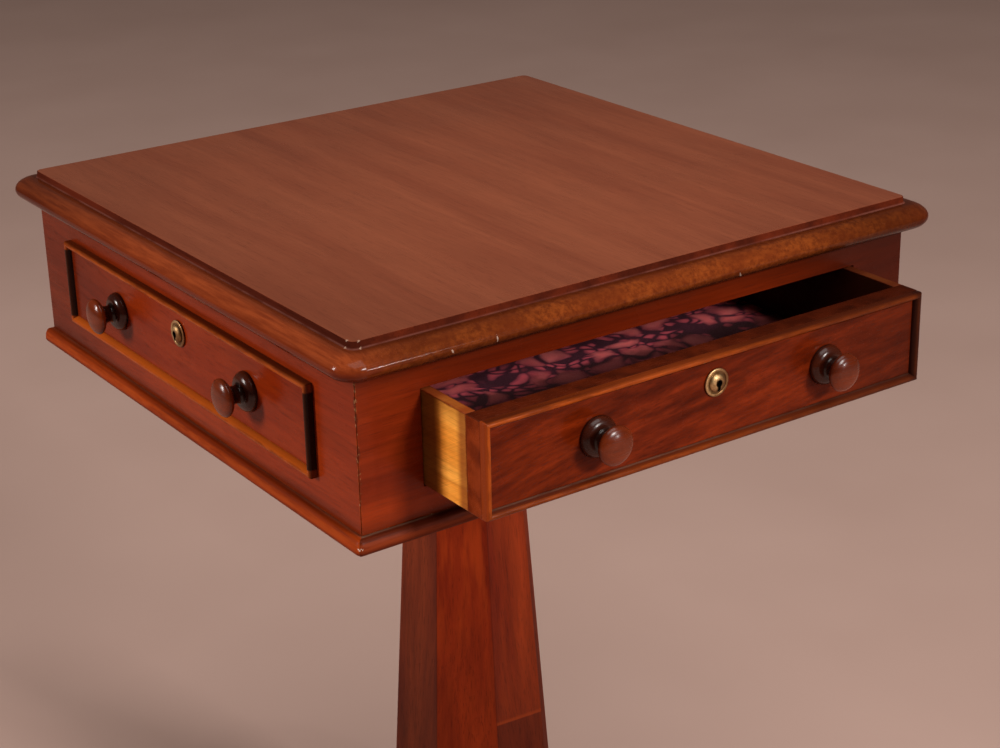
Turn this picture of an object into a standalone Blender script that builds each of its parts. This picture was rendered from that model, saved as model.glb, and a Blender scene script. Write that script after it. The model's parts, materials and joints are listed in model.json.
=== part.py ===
"""Square occasional table in mahogany: a moulded top on a shallow frieze box, one working drawer in the
front, matching dummy drawers on the other three faces, and a tapered octagonal column on a platform base.

Units are metres, +Z is up, the front faces -Y and the floor is Z = 0. The drawer stands open.
"""
import math

import bmesh
import bpy

# Overall and top
TABLE_HEIGHT = 0.730
TOP_SIDE = 0.536
TOP_THICKNESS = 0.025
TOP_OVERHANG = 0.019
TOP_CORNER_RADIUS = 0.018
EDGE_WIDTH = 0.018
PANEL_CORNER_RADIUS = 0.005
PANEL_STEP = 0.0054
STEP_SLOPE = 0.0008
STEP_LEDGE = 0.0020
NOSE_DROP = 0.0155

# Frieze box
FRAME_THICKNESS = 0.019
STILE_WIDTH = 0.05075
TOP_RAIL_HEIGHT = 0.0199
BOTTOM_RAIL_HEIGHT = 0.0222
MOULDING_HEIGHT = 0.012
MOULDING_PROJECTION = 0.0070
MOULDING_FLAT = 0.0030

# Drawer
DRAWER_HEIGHT = 0.0703
DRAWER_OPEN = 0.0674
DUMMY_WIDTH = 0.3885
DRAWER_CLEARANCE = 0.0010
FRONT_THICKNESS = 0.0181
DRAWER_SIDE_THICKNESS = 0.0080
DRAWER_BACK_THICKNESS = 0.0080
DRAWER_BACK_DROP = 0.0040
BOTTOM_THICKNESS = 0.0060
BOTTOM_RISE = 0.0048
BOTTOM_GROOVE = 0.0040
LINING_THICKNESS = 0.0006
BEAD_WIDTH = 0.0060
BEAD_DEPTH = 0.0065
BEAD_PROUD = 0.0042
BEAD_ROUND_WIDTH = 0.0025
BEAD_ROUND_HEIGHT = 0.0025

# Drawer supports
RUNNER_THICKNESS = 0.014
RUNNER_LEDGE = 0.012
GUIDE_HEIGHT = 0.024
STOP_WIDTH = 0.120
STOP_HEIGHT = 0.030
STOP_DEPTH = 0.0147
STOP_CLEARANCE = 0.0005

# Knobs, escutcheons and lock
KNOB_SPACING = 0.2077
KNOB_BASE_DIAMETER = 0.0305
KNOB_BASE_THICKNESS = 0.0070
KNOB_SHOULDER_DIAMETER = 0.0170
KNOB_NECK_DIAMETER = 0.0130
KNOB_HEAD_DIAMETER = 0.0285
KNOB_HEAD_THICKNESS = 0.0110
KNOB_LENGTH = 0.0255
SPIGOT_DIAMETER = 0.0090
SPIGOT_LENGTH = 0.0140
ESCUTCHEON_DIAMETER = 0.0208
ESCUTCHEON_HEIGHT = 0.0040
FLANGE_THICKNESS = 0.0014
FLANGE_WIDTH = 0.0019
FLANGE_ROUND = 0.0006
GROOVE_DEPTH = 0.0005
BOSS_DIAMETER = 0.0138
BOSS_FLAT_DIAMETER = 0.0062
KEYHOLE_RISE = 0.0126
KEYHOLE_DIAMETER = 0.0046
KEYHOLE_SLOT_WIDTH = 0.0022
KEYHOLE_SLOT_DROP = 0.0062
KEYHOLE_DEPTH = 0.0090
LOCK_WIDTH = 0.050
LOCK_HEIGHT = 0.034
LOCK_TOP_DROP = 0.0060
LOCK_WALL = 0.0024
BOLT_WIDTH = 0.018
BOLT_HEIGHT = 0.020
BOLT_THICKNESS = 0.0040
BOLT_SETBACK = 0.0012

# Pedestal
BEARER_WIDTH = 0.050
BEARER_SPACING = 0.120
BEARER_CLEARANCE = 0.0030
BLOCK_SIDE = 0.180
BLOCK_THICKNESS = 0.028
SCREW_INSET = 0.025
SCREW_DIAMETER = 0.0050
SCREW_HEAD_DIAMETER = 0.0100
SCREW_HEAD_HEIGHT = 0.0032
SCREW_BITE = 0.012
COLUMN_TOP_ACROSS = 0.0868
COLUMN_BASE_ACROSS = 0.1500
COLUMN_TURN = math.radians(7.8)
COLUMN_TENON_DIAMETER = 0.040
COLUMN_TENON_LENGTH = 0.024
PLATFORM_SIDE = 0.350
PLATFORM_THICKNESS = 0.034
PLATFORM_CANT = 0.050
PLATFORM_HOLLOW = 0.045
PLATFORM_CHAMFER = 0.0050
FOOT_DIAMETER = 0.072
FOOT_PAD_DIAMETER = 0.044
FOOT_HEIGHT = 0.036
FOOT_INSET = 0.062
FOOT_SPIGOT_DIAMETER = 0.022
FOOT_SPIGOT_LENGTH = 0.020

# Fits and smoothness
JOINT_GAP = 0.0003
CUT_EXTRA = 0.0010
MERGE_DISTANCE = 1e-6
CORNER_STEPS = 5
NOSE_STEPS = 5
MOULDING_STEPS = 4
BEAD_STEPS = 4
KNOB_BASE_STEPS = 5
KNOB_HEAD_STEPS = 6
BOSS_STEPS = 3
KEYHOLE_STEPS = 10
FOOT_STEPS = 8
HOLLOW_STEPS = 8
TURNED_SIDES = 20
SCREW_SIDES = 10
SMOOTH_ANGLE = math.radians(35)

# Heights that follow from the sizes above
FRAME_TOP = TABLE_HEIGHT - TOP_THICKNESS - JOINT_GAP
RAIL_EDGE = FRAME_TOP - TOP_RAIL_HEIGHT
DRAWER_TOP = RAIL_EDGE - DRAWER_CLEARANCE
DRAWER_MIDDLE = DRAWER_TOP - DRAWER_HEIGHT / 2
DRAWER_FOOT = DRAWER_TOP - DRAWER_HEIGHT
BOTTOM_RAIL_EDGE = DRAWER_FOOT - DRAWER_CLEARANCE
FRAME_FOOT = BOTTOM_RAIL_EDGE - BOTTOM_RAIL_HEIGHT
BLOCK_TOP = FRAME_FOOT - JOINT_GAP
BLOCK_FOOT = BLOCK_TOP - BLOCK_THICKNESS
PLATFORM_FOOT = FOOT_HEIGHT + JOINT_GAP
PLATFORM_TOP = PLATFORM_FOOT + PLATFORM_THICKNESS

# Widths and depths that follow
PANEL_SIDE = TOP_SIDE - 2 * EDGE_WIDTH
FRAME_SIDE = TOP_SIDE - 2 * TOP_OVERHANG
FRAME_INSIDE = FRAME_SIDE / 2 - FRAME_THICKNESS
OPENING_WIDTH = FRAME_SIDE - 2 * STILE_WIDTH
DRAWER_WIDTH = OPENING_WIDTH - 2 * DRAWER_CLEARANCE
PANEL_PROUD = BEAD_DEPTH - BEAD_PROUD
FRONT_BACK = PANEL_PROUD - FRONT_THICKNESS
STOP_BACK = FRAME_THICKNESS + JOINT_GAP
STOP_FACE = STOP_BACK + STOP_DEPTH
DRAWER_END = STOP_FACE + STOP_CLEARANCE - FRAME_SIDE
MITRE_SETBACK = JOINT_GAP / math.sqrt(2)


def clear_scene():
    """Remove what the scene holds."""
    for old in list(bpy.data.objects):
        bpy.data.objects.remove(old, do_unlink=True)


def make_material(name, colour, roughness, metallic=0.0):
    """A plain finish with one colour."""
    finish = bpy.data.materials.new(name)
    finish.use_nodes = True
    shader = finish.node_tree.nodes["Principled BSDF"]
    shader.inputs["Base Color"].default_value = (*colour, 1.0)
    shader.inputs["Roughness"].default_value = roughness
    shader.inputs["Metallic"].default_value = metallic
    return finish


def add_empty(name, location, rotation=(0.0, 0.0, 0.0), parent=None):
    """An empty that carries a group of pieces."""
    empty = bpy.data.objects.new(name, None)
    empty.location = location
    empty.rotation_euler = rotation
    empty.parent = parent
    bpy.context.scene.collection.objects.link(empty)
    return empty


def add_piece(name, mesh, finish, parent, location=(0.0, 0.0, 0.0), rotation=(0.0, 0.0, 0.0)):
    """One piece of the table, from its mesh."""
    if finish is not None and not mesh.materials:
        mesh.materials.append(finish)
    piece = bpy.data.objects.new(name, mesh)
    piece.location = location
    piece.rotation_euler = rotation
    piece.parent = parent
    bpy.context.scene.collection.objects.link(piece)
    return piece


def add_cutter(name, mesh, parent, location=(0.0, 0.0, 0.0)):
    """A hidden shape that only cuts other pieces."""
    cutter = add_piece(name, mesh, None, parent, location)
    cutter.hide_render = True
    cutter.display_type = "WIRE"
    return cutter


def combine(piece, other, operation="DIFFERENCE"):
    """Cut a piece by another shape, or join the shape to it."""
    change = piece.modifiers.new(operation.lower(), "BOOLEAN")
    change.operation = operation
    change.object = other
    change.solver = "EXACT"


def finish_mesh(name, shape, smooth=False):
    """Turn an edited shape into a mesh whose faces point out."""
    bmesh.ops.recalc_face_normals(shape, faces=shape.faces)
    mesh = bpy.data.meshes.new(name)
    shape.to_mesh(mesh)
    shape.free()
    if smooth:
        mesh.shade_smooth()
        mesh.set_sharp_from_angle(angle=SMOOTH_ANGLE)
    return mesh


def add_loft(shape, rings):
    """Join rings of points into one closed body with flat ends."""
    loops = [[shape.verts.new(point) for point in ring] for ring in rings]
    shape.faces.new(reversed(loops[0]))
    shape.faces.new(loops[-1])
    for lower, upper in zip(loops, loops[1:]):
        count = len(lower)
        for i in range(count):
            j = (i + 1) % count
            shape.faces.new((lower[i], lower[j], upper[j], upper[i]))


def loft_mesh(name, rings, smooth=False):
    """A mesh lofted through rings of points."""
    shape = bmesh.new()
    add_loft(shape, rings)
    return finish_mesh(name, shape, smooth)


def box_mesh(name, low, high):
    """A board from its lowest to its highest corner."""
    outline = [(low[0], low[1]), (high[0], low[1]), (high[0], high[1]), (low[0], high[1])]
    return prism_mesh(name, outline, low[2], high[2])


def prism_mesh(name, outline, low, high):
    """An outline in X and Y, extruded along Z."""
    return loft_mesh(name, [[(x, y, z) for x, y in outline] for z in (low, high)])


def add_turning(shape, profile, sides, centre=(0.0, 0.0)):
    """Spin a profile of (radius, height), from axis to axis, about Z."""
    points = [shape.verts.new((centre[0] + r, centre[1], z)) for r, z in profile]
    edges = [shape.edges.new(pair) for pair in zip(points, points[1:])]
    bmesh.ops.spin(
        shape,
        geom=points + edges,
        cent=(centre[0], centre[1], 0.0),
        axis=(0.0, 0.0, 1.0),
        angle=2 * math.pi,
        steps=sides,
        use_merge=True,
    )
    bmesh.ops.remove_doubles(shape, verts=shape.verts, dist=MERGE_DISTANCE)


def turned_mesh(name, profile, sides=TURNED_SIDES):
    """A piece turned on the lathe."""
    shape = bmesh.new()
    add_turning(shape, profile, sides)
    return finish_mesh(name, shape, smooth=True)


def arc(centre, radii, start, end, steps):
    """Points along an elliptical arc, angles in degrees."""
    points = []
    for i in range(steps + 1):
        angle = math.radians(start + (end - start) * i / steps)
        points.append((centre[0] + radii[0] * math.cos(angle), centre[1] + radii[1] * math.sin(angle)))
    return points


def rounded_square(half, radius, height):
    """A square ring with rounded corners."""
    inner = half - radius
    ring = []
    for corner in range(4):
        turn = 90 * corner
        sign_x = 1 if corner in (0, 3) else -1
        sign_y = 1 if corner in (0, 1) else -1
        centre = (sign_x * inner, sign_y * inner)
        ring += [(x, y, height) for x, y in arc(centre, (radius, radius), turn, turn + 90, CORNER_STEPS)]
    return ring


def strip_mesh(name, section, length):
    """A moulded strip along X with mitred ends. The section holds (inset from the outer edge, height)."""
    ends = []
    for side in (-1, 1):
        reach = [side * (length / 2 - inset - MITRE_SETBACK) for inset, _ in section]
        ends.append([(x, inset, height) for x, (inset, height) in zip(reach, section)])
    return loft_mesh(name, ends, smooth=True)


def frame_mesh(name, section, width, height):
    """Four mitred strips glued into one rectangular frame in X and Y."""
    shape = bmesh.new()
    loops = []
    for inset, level in section:
        half_x = width / 2 - inset
        half_y = height / 2 - inset
        corners = [(-half_x, -half_y), (half_x, -half_y), (half_x, half_y), (-half_x, half_y)]
        loops.append([shape.verts.new((x, y, level)) for x, y in corners])
    for inner, outer in zip(loops, loops[1:] + loops[:1]):
        for i in range(4):
            j = (i + 1) % 4
            shape.faces.new((inner[i], inner[j], outer[j], outer[i]))
    return finish_mesh(name, shape, smooth=True)


def bead_section(base):
    """Section of the drawer bead: upright outside, rounded over, sloping in to the panel."""
    middle = (BEAD_ROUND_WIDTH, BEAD_DEPTH - BEAD_ROUND_HEIGHT)
    crown = arc(middle, (BEAD_ROUND_WIDTH, BEAD_ROUND_HEIGHT), 180, 50, BEAD_STEPS)
    return [(0.0, base)] + crown + [(BEAD_WIDTH, PANEL_PROUD), (BEAD_WIDTH, base)]


def keyhole_outline():
    """A round hole with a slot below it, at its height on the face."""
    radius = KEYHOLE_DIAMETER / 2
    slot = KEYHOLE_SLOT_WIDTH / 2
    slot_foot = KEYHOLE_RISE - KEYHOLE_SLOT_DROP
    start = -90 + math.degrees(math.asin(slot / radius))
    outline = arc((0.0, KEYHOLE_RISE), (radius, radius), start, 180 - start, KEYHOLE_STEPS)
    return outline + [(-slot, slot_foot), (slot, slot_foot)]


def top_board_mesh():
    """The top: a raised flat panel, a small step and ledge, and a thumb-moulded edge."""
    half_panel = PANEL_SIDE / 2
    half_top = TOP_SIDE / 2
    start = half_panel + STEP_SLOPE + STEP_LEDGE
    reach = half_top - start
    profile = arc((start, -NOSE_DROP), (reach, NOSE_DROP - TOP_THICKNESS), 90, 0, NOSE_STEPS)
    profile += arc((start, -NOSE_DROP), (reach, NOSE_DROP - PANEL_STEP), 0, 90, NOSE_STEPS)[1:]
    profile += [(half_panel + STEP_SLOPE, -PANEL_STEP), (half_panel, 0.0)]
    rings = []
    for half, drop in profile:
        share = (half - half_panel) / (half_top - half_panel)
        radius = PANEL_CORNER_RADIUS + share * (TOP_CORNER_RADIUS - PANEL_CORNER_RADIUS)
        rings.append(rounded_square(half, radius, drop))
    return loft_mesh("top_board", rings, smooth=True)


def side_board_mesh(name, low, high, left=None, right=None):
    """A frieze board seen from outside, mitred at an end where no inner limit is given."""
    half = FRAME_SIDE / 2 - MITRE_SETBACK
    inside = half - FRAME_THICKNESS
    outer = (-half if left is None else left, half if right is None else right)
    inner = (-inside if left is None else left, inside if right is None else right)
    rings = []
    for level in (low, high):
        ring = [(outer[0], 0.0), (outer[1], 0.0), (inner[1], -FRAME_THICKNESS), (inner[0], -FRAME_THICKNESS)]
        rings.append([(x, level - DRAWER_MIDDLE, z) for x, z in ring])
    return loft_mesh(name, rings)


def knob_mesh():
    """Turned knob: a spigot, a domed base, a hollow neck and a flattened ball. The panel face is Z = 0."""
    base = KNOB_BASE_DIAMETER / 2
    head = KNOB_HEAD_DIAMETER / 2
    neck = KNOB_NECK_DIAMETER / 2
    head_middle = KNOB_LENGTH - KNOB_HEAD_THICKNESS / 2
    head_foot = KNOB_LENGTH - KNOB_HEAD_THICKNESS
    shoulder = KNOB_SHOULDER_DIAMETER / 2
    dome = (base - shoulder, KNOB_BASE_THICKNESS - JOINT_GAP)
    neck_middle = (KNOB_BASE_THICKNESS + head_foot) / 2
    profile = [(0.0, -SPIGOT_LENGTH), (SPIGOT_DIAMETER / 2, -SPIGOT_LENGTH)]
    profile += [(SPIGOT_DIAMETER / 2, JOINT_GAP)]
    profile += arc((shoulder, JOINT_GAP), dome, 0, 90, KNOB_BASE_STEPS)
    profile += [(neck, neck_middle)]
    profile += arc((0.0, head_middle), (head, KNOB_HEAD_THICKNESS / 2), -55, 90, KNOB_HEAD_STEPS)[:-1]
    profile += [(0.0, KNOB_LENGTH)]
    return turned_mesh("knob", profile)


def escutcheon_mesh():
    """Round brass plate with a flange, a groove and a raised boss."""
    rim = ESCUTCHEON_DIAMETER / 2
    boss = BOSS_DIAMETER / 2
    flat = BOSS_FLAT_DIAMETER / 2
    flange = JOINT_GAP + FLANGE_THICKNESS
    groove = flange - GROOVE_DEPTH
    flange_edge = rim - FLANGE_WIDTH
    profile = [(0.0, JOINT_GAP), (rim, JOINT_GAP), (rim, flange - FLANGE_ROUND), (rim - FLANGE_ROUND, flange)]
    profile += [(flange_edge, flange), (flange_edge - GROOVE_DEPTH, groove)]
    profile += arc((flat, groove), (boss - flat, ESCUTCHEON_HEIGHT - groove), 0, 90, BOSS_STEPS)
    profile += [(0.0, ESCUTCHEON_HEIGHT)]
    return turned_mesh("escutcheon", profile)


def foot_mesh():
    """Turned bun foot standing on a flat pad, with a spigot on top."""
    radius = FOOT_DIAMETER / 2
    pad = FOOT_PAD_DIAMETER / 2
    spread = math.degrees(math.acos(pad / radius))
    height = FOOT_HEIGHT / 2 / math.sin(math.radians(spread))
    spigot = FOOT_SPIGOT_DIAMETER / 2
    spigot_top = FOOT_HEIGHT + FOOT_SPIGOT_LENGTH
    profile = [(0.0, 0.0)]
    profile += arc((0.0, FOOT_HEIGHT / 2), (radius, height), -spread, spread, FOOT_STEPS)
    profile += [(spigot, FOOT_HEIGHT), (spigot, spigot_top), (0.0, spigot_top)]
    return turned_mesh("foot", profile)


def rod_profile(diameter, low, high):
    """Profile of a plain round rod."""
    return [(0.0, low), (diameter / 2, low), (diameter / 2, high), (0.0, high)]


def screw_profile(grow, length):
    """Countersunk wood screw pointing up, its head flush with Z = 0."""
    head = SCREW_HEAD_DIAMETER / 2 + grow
    shank = SCREW_DIAMETER / 2 + grow
    return [(0.0, -grow), (head, -grow), (shank, SCREW_HEAD_HEIGHT + grow), (shank, length), (0.0, length)]


def octagon(across, height):
    """A regular octagon with two faces square to X, given across its faces."""
    radius = across / 2 / math.cos(math.pi / 8)
    return [(x, y, height) for x, y in arc((0.0, 0.0), (radius, radius), 22.5, 337.5, 7)]


def platform_outline(inset):
    """Square with hollowed sides and canted corners, drawn in from its edge."""
    half = PLATFORM_SIDE / 2
    end = half - PLATFORM_CANT
    hollow_radius = (end ** 2 + PLATFORM_HOLLOW ** 2) / (2 * PLATFORM_HOLLOW)
    centre = (half - PLATFORM_HOLLOW + hollow_radius, 0.0)
    radius = hollow_radius + inset
    spread = math.degrees(math.asin((end - inset / math.sqrt(2)) / radius))
    curve = arc(centre, (radius, radius), 180 + spread, 180 - spread, HOLLOW_STEPS)
    outline = []
    for side in range(4):
        turn = math.radians(90 * side)
        for x, y in curve:
            outline.append((x * math.cos(turn) - y * math.sin(turn), x * math.sin(turn) + y * math.cos(turn)))
    return outline


def build_top(table, finish):
    """The moulded top."""
    add_piece("top_board", top_board_mesh(), finish, table, (0.0, 0.0, TABLE_HEIGHT))


def build_frame(faces, finish):
    """The frieze box: front rails and stiles, and three plain boards mitred at the corners."""
    edge = OPENING_WIDTH / 2
    front = faces["front"]
    left_stile = side_board_mesh("front_left_stile", FRAME_FOOT, FRAME_TOP, right=-edge)
    right_stile = side_board_mesh("front_right_stile", FRAME_FOOT, FRAME_TOP, left=edge)
    add_piece("front_left_stile", left_stile, finish, front)
    add_piece("front_right_stile", right_stile, finish, front)
    rail_end = edge - JOINT_GAP
    for name, low, high in (
        ("front_top_rail", RAIL_EDGE, FRAME_TOP),
        ("front_bottom_rail", FRAME_FOOT, BOTTOM_RAIL_EDGE),
    ):
        add_piece(name, side_board_mesh(name, low, high, -rail_end, rail_end), finish, front)
    boards = {}
    for side, name in (("left", "left_side"), ("right", "right_side"), ("rear", "rear_apron")):
        boards[side] = add_piece(name, side_board_mesh(name, FRAME_FOOT, FRAME_TOP), finish, faces[side])
    return boards


def build_mouldings(table, finish):
    """Mitred moulding planted under the four faces of the frieze."""
    nose = arc(
        (MOULDING_PROJECTION - MOULDING_FLAT, MOULDING_FLAT - MOULDING_HEIGHT),
        (MOULDING_PROJECTION - MOULDING_FLAT, MOULDING_HEIGHT - MOULDING_FLAT),
        90,
        180,
        MOULDING_STEPS,
    )
    depth = MOULDING_PROJECTION + FRAME_THICKNESS
    section = [(depth, -MOULDING_HEIGHT), (depth, 0.0)] + nose + [(MOULDING_FLAT, -MOULDING_HEIGHT)]
    length = FRAME_SIDE + 2 * MOULDING_PROJECTION
    for turn, side in enumerate(("front", "right", "rear", "left")):
        name = side + "_bottom_moulding"
        angle = math.radians(90 * turn)
        place = (length / 2 * math.sin(angle), -length / 2 * math.cos(angle), FRAME_FOOT - JOINT_GAP)
        add_piece(name, strip_mesh(name, section, length), finish, table, place, (0.0, 0.0, angle))


def build_runners(table, finish):
    """Rebated runners that carry and guide the drawer, and kickers that stop it tipping."""
    outer = FRAME_INSIDE - JOINT_GAP
    guide = OPENING_WIDTH / 2
    ledge = DRAWER_WIDTH / 2 - RUNNER_LEDGE
    top = DRAWER_FOOT - JOINT_GAP
    half_length = FRAME_INSIDE - JOINT_GAP
    section = [(ledge, top - RUNNER_THICKNESS), (outer, top - RUNNER_THICKNESS), (outer, top + GUIDE_HEIGHT)]
    section += [(guide, top + GUIDE_HEIGHT), (guide, top), (ledge, top)]
    for side, sign in (("left", -1), ("right", 1)):
        name = side + "_drawer_runner"
        rings = [[(sign * x, y, z) for x, z in section] for y in (-half_length, half_length)]
        add_piece(name, loft_mesh(name, rings), finish, table)
        name = side + "_kicker"
        ends = sorted((sign * ledge, sign * outer))
        low = (ends[0], -half_length, DRAWER_TOP + DRAWER_CLEARANCE)
        high = (ends[1], half_length, FRAME_TOP)
        add_piece(name, box_mesh(name, low, high), finish, table)


def build_stop(faces, finish):
    """Block inside the rear board that stops the drawer when it is shut."""
    low = (-STOP_WIDTH / 2, -STOP_HEIGHT / 2, -STOP_FACE)
    high = (STOP_WIDTH / 2, STOP_HEIGHT / 2, -STOP_BACK)
    add_piece("drawer_stop", box_mesh("drawer_stop", low, high), finish, faces["rear"])


def build_bead_frame(name, face, finish):
    """Mitred bead round a dummy drawer, planted on its board."""
    mesh = frame_mesh(name, bead_section(JOINT_GAP), DUMMY_WIDTH, DRAWER_HEIGHT)
    add_piece(name, mesh, finish, face)


def face_bores(name, face, key_depth):
    """Cutter for two knob spigots and a keyhole."""
    shape = bmesh.new()
    bore = SPIGOT_DIAMETER + 2 * JOINT_GAP
    foot = PANEL_PROUD - SPIGOT_LENGTH - CUT_EXTRA
    for side in (-1, 1):
        place = (side * KNOB_SPACING / 2, 0.0)
        add_turning(shape, rod_profile(bore, foot, PANEL_PROUD + CUT_EXTRA), TURNED_SIDES, place)
    levels = (PANEL_PROUD - key_depth, PANEL_PROUD + CUT_EXTRA)
    add_loft(shape, [[(x, y, z) for x, y in keyhole_outline()] for z in levels])
    return add_cutter(name, finish_mesh(name, shape), face)


def build_hardware(owner, face, wood, brass, knob, plate):
    """Two turned knobs and an escutcheon with its keyhole on one face."""
    for place, sign in (("left", -1), ("right", 1)):
        location = (sign * KNOB_SPACING / 2, 0.0, PANEL_PROUD)
        add_piece(f"{owner}_{place}_knob", knob, wood, face, location)
    piece = add_piece(owner + "_escutcheon", plate, brass, face, (0.0, KEYHOLE_RISE, PANEL_PROUD))
    name = owner + "_plate_keyhole"
    levels = (PANEL_PROUD, PANEL_PROUD + ESCUTCHEON_HEIGHT + CUT_EXTRA)
    combine(piece, add_cutter(name, prism_mesh(name, keyhole_outline(), *levels), face))


def build_dummies(faces, boards, wood, bead):
    """A dummy drawer front on each of the left, right and rear faces."""
    half_x = DUMMY_WIDTH / 2 - BEAD_WIDTH - JOINT_GAP
    half_y = DRAWER_HEIGHT / 2 - BEAD_WIDTH - JOINT_GAP
    for side in ("left", "right", "rear"):
        face = faces[side]
        name = side + "_dummy_front"
        mesh = box_mesh(name, (-half_x, -half_y, JOINT_GAP), (half_x, half_y, PANEL_PROUD))
        front = add_piece(name, mesh, wood, face)
        cutter = face_bores(side + "_face_bores", face, KEYHOLE_DEPTH)
        combine(front, cutter)
        combine(boards[side], cutter)
        build_bead_frame(side + "_dummy_bead", face, bead)


def build_drawer_front(drawer, wood, bead):
    """Drawer front with a raised field, and four mitred bead strips round it."""
    half_x = DRAWER_WIDTH / 2
    half_y = DRAWER_HEIGHT / 2
    rebate = BEAD_WIDTH + JOINT_GAP
    board = box_mesh("drawer_front", (-half_x, -half_y, FRONT_BACK), (half_x, half_y, -JOINT_GAP))
    front = add_piece("drawer_front", board, wood, drawer)
    field = box_mesh(
        "drawer_field",
        (rebate - half_x, rebate - half_y, FRONT_BACK + CUT_EXTRA),
        (half_x - rebate, half_y - rebate, PANEL_PROUD),
    )
    combine(front, add_cutter("drawer_field", field, drawer), "UNION")
    combine(front, face_bores("drawer_bores", drawer, FRONT_THICKNESS + CUT_EXTRA))
    section = bead_section(0.0)
    strips = (
        ("bottom", DRAWER_WIDTH, (0.0, -half_y), 0),
        ("right", DRAWER_HEIGHT, (half_x, 0.0), 90),
        ("top", DRAWER_WIDTH, (0.0, half_y), 180),
        ("left", DRAWER_HEIGHT, (-half_x, 0.0), 270),
    )
    for side, length, place, turn in strips:
        name = f"drawer_{side}_bead"
        mesh = strip_mesh(name, section, length)
        add_piece(name, mesh, bead, drawer, (*place, 0.0), (0.0, 0.0, math.radians(turn)))


def build_drawer_box(drawer, pine, lining):
    """Pine sides, back and bottom, and the patterned paper that lines the bottom."""
    half_x = DRAWER_WIDTH / 2
    half_y = DRAWER_HEIGHT / 2
    inner = half_x - DRAWER_SIDE_THICKNESS
    groove = inner + BOTTOM_GROOVE
    front = FRONT_BACK - JOINT_GAP
    floor_low = BOTTOM_RISE - half_y
    floor_high = floor_low + BOTTOM_THICKNESS
    lining_low = floor_high + JOINT_GAP
    section = [(half_x, -half_y), (half_x, half_y), (inner, half_y), (inner, floor_high + JOINT_GAP)]
    section += [(groove, floor_high + JOINT_GAP), (groove, floor_low - JOINT_GAP)]
    section += [(inner, floor_low - JOINT_GAP), (inner, -half_y)]
    for side, sign in (("left", -1), ("right", 1)):
        name = f"drawer_{side}_side"
        outline = [(sign * x, y) for x, y in section]
        add_piece(name, prism_mesh(name, outline, DRAWER_END, front), pine, drawer)
    edge = groove - JOINT_GAP
    bottom = box_mesh("drawer_bottom", (-edge, floor_low, DRAWER_END), (edge, floor_high, front))
    add_piece("drawer_bottom", bottom, pine, drawer)
    end = inner - JOINT_GAP
    back_face = DRAWER_END + DRAWER_BACK_THICKNESS
    back_top = half_y - DRAWER_BACK_DROP
    back = box_mesh("drawer_back", (-end, lining_low, DRAWER_END), (end, back_top, back_face))
    add_piece("drawer_back", back, pine, drawer)
    sheet_low = (-end, lining_low, back_face + JOINT_GAP)
    sheet_high = (end, lining_low + LINING_THICKNESS, front)
    add_piece("drawer_lining", box_mesh("drawer_lining", sheet_low, sheet_high), lining, drawer)


def build_lock(drawer, brass):
    """Lock on the back of the drawer front. Its bolt rises behind the top rail."""
    top = DRAWER_HEIGHT / 2 - LOCK_TOP_DROP
    face = FRONT_BACK - JOINT_GAP
    bolt_face = -FRAME_THICKNESS - BOLT_SETBACK
    bolt_back = bolt_face - BOLT_THICKNESS
    rear = bolt_back - JOINT_GAP - LOCK_WALL
    case = box_mesh("lock_case", (-LOCK_WIDTH / 2, top - LOCK_HEIGHT, rear), (LOCK_WIDTH / 2, top, face))
    lock = add_piece("lock_case", case, brass, drawer)
    pocket_half = BOLT_WIDTH / 2 + JOINT_GAP
    pocket = box_mesh(
        "bolt_pocket",
        (-pocket_half, top - BOLT_HEIGHT - JOINT_GAP, bolt_back - JOINT_GAP),
        (pocket_half, top + CUT_EXTRA, bolt_face + JOINT_GAP),
    )
    combine(lock, add_cutter("bolt_pocket", pocket, drawer))
    keyway = prism_mesh("keyway", keyhole_outline(), bolt_face + JOINT_GAP + CUT_EXTRA, face + CUT_EXTRA)
    combine(lock, add_cutter("keyway", keyway, drawer))
    bolt = add_empty("bolt_slide", (0.0, top, (bolt_face + bolt_back) / 2), parent=drawer)
    half = BOLT_THICKNESS / 2
    mesh = box_mesh("lock_bolt", (-BOLT_WIDTH / 2, -BOLT_HEIGHT, -half), (BOLT_WIDTH / 2, 0.0, half))
    add_piece("lock_bolt", mesh, brass, bolt)


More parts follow.
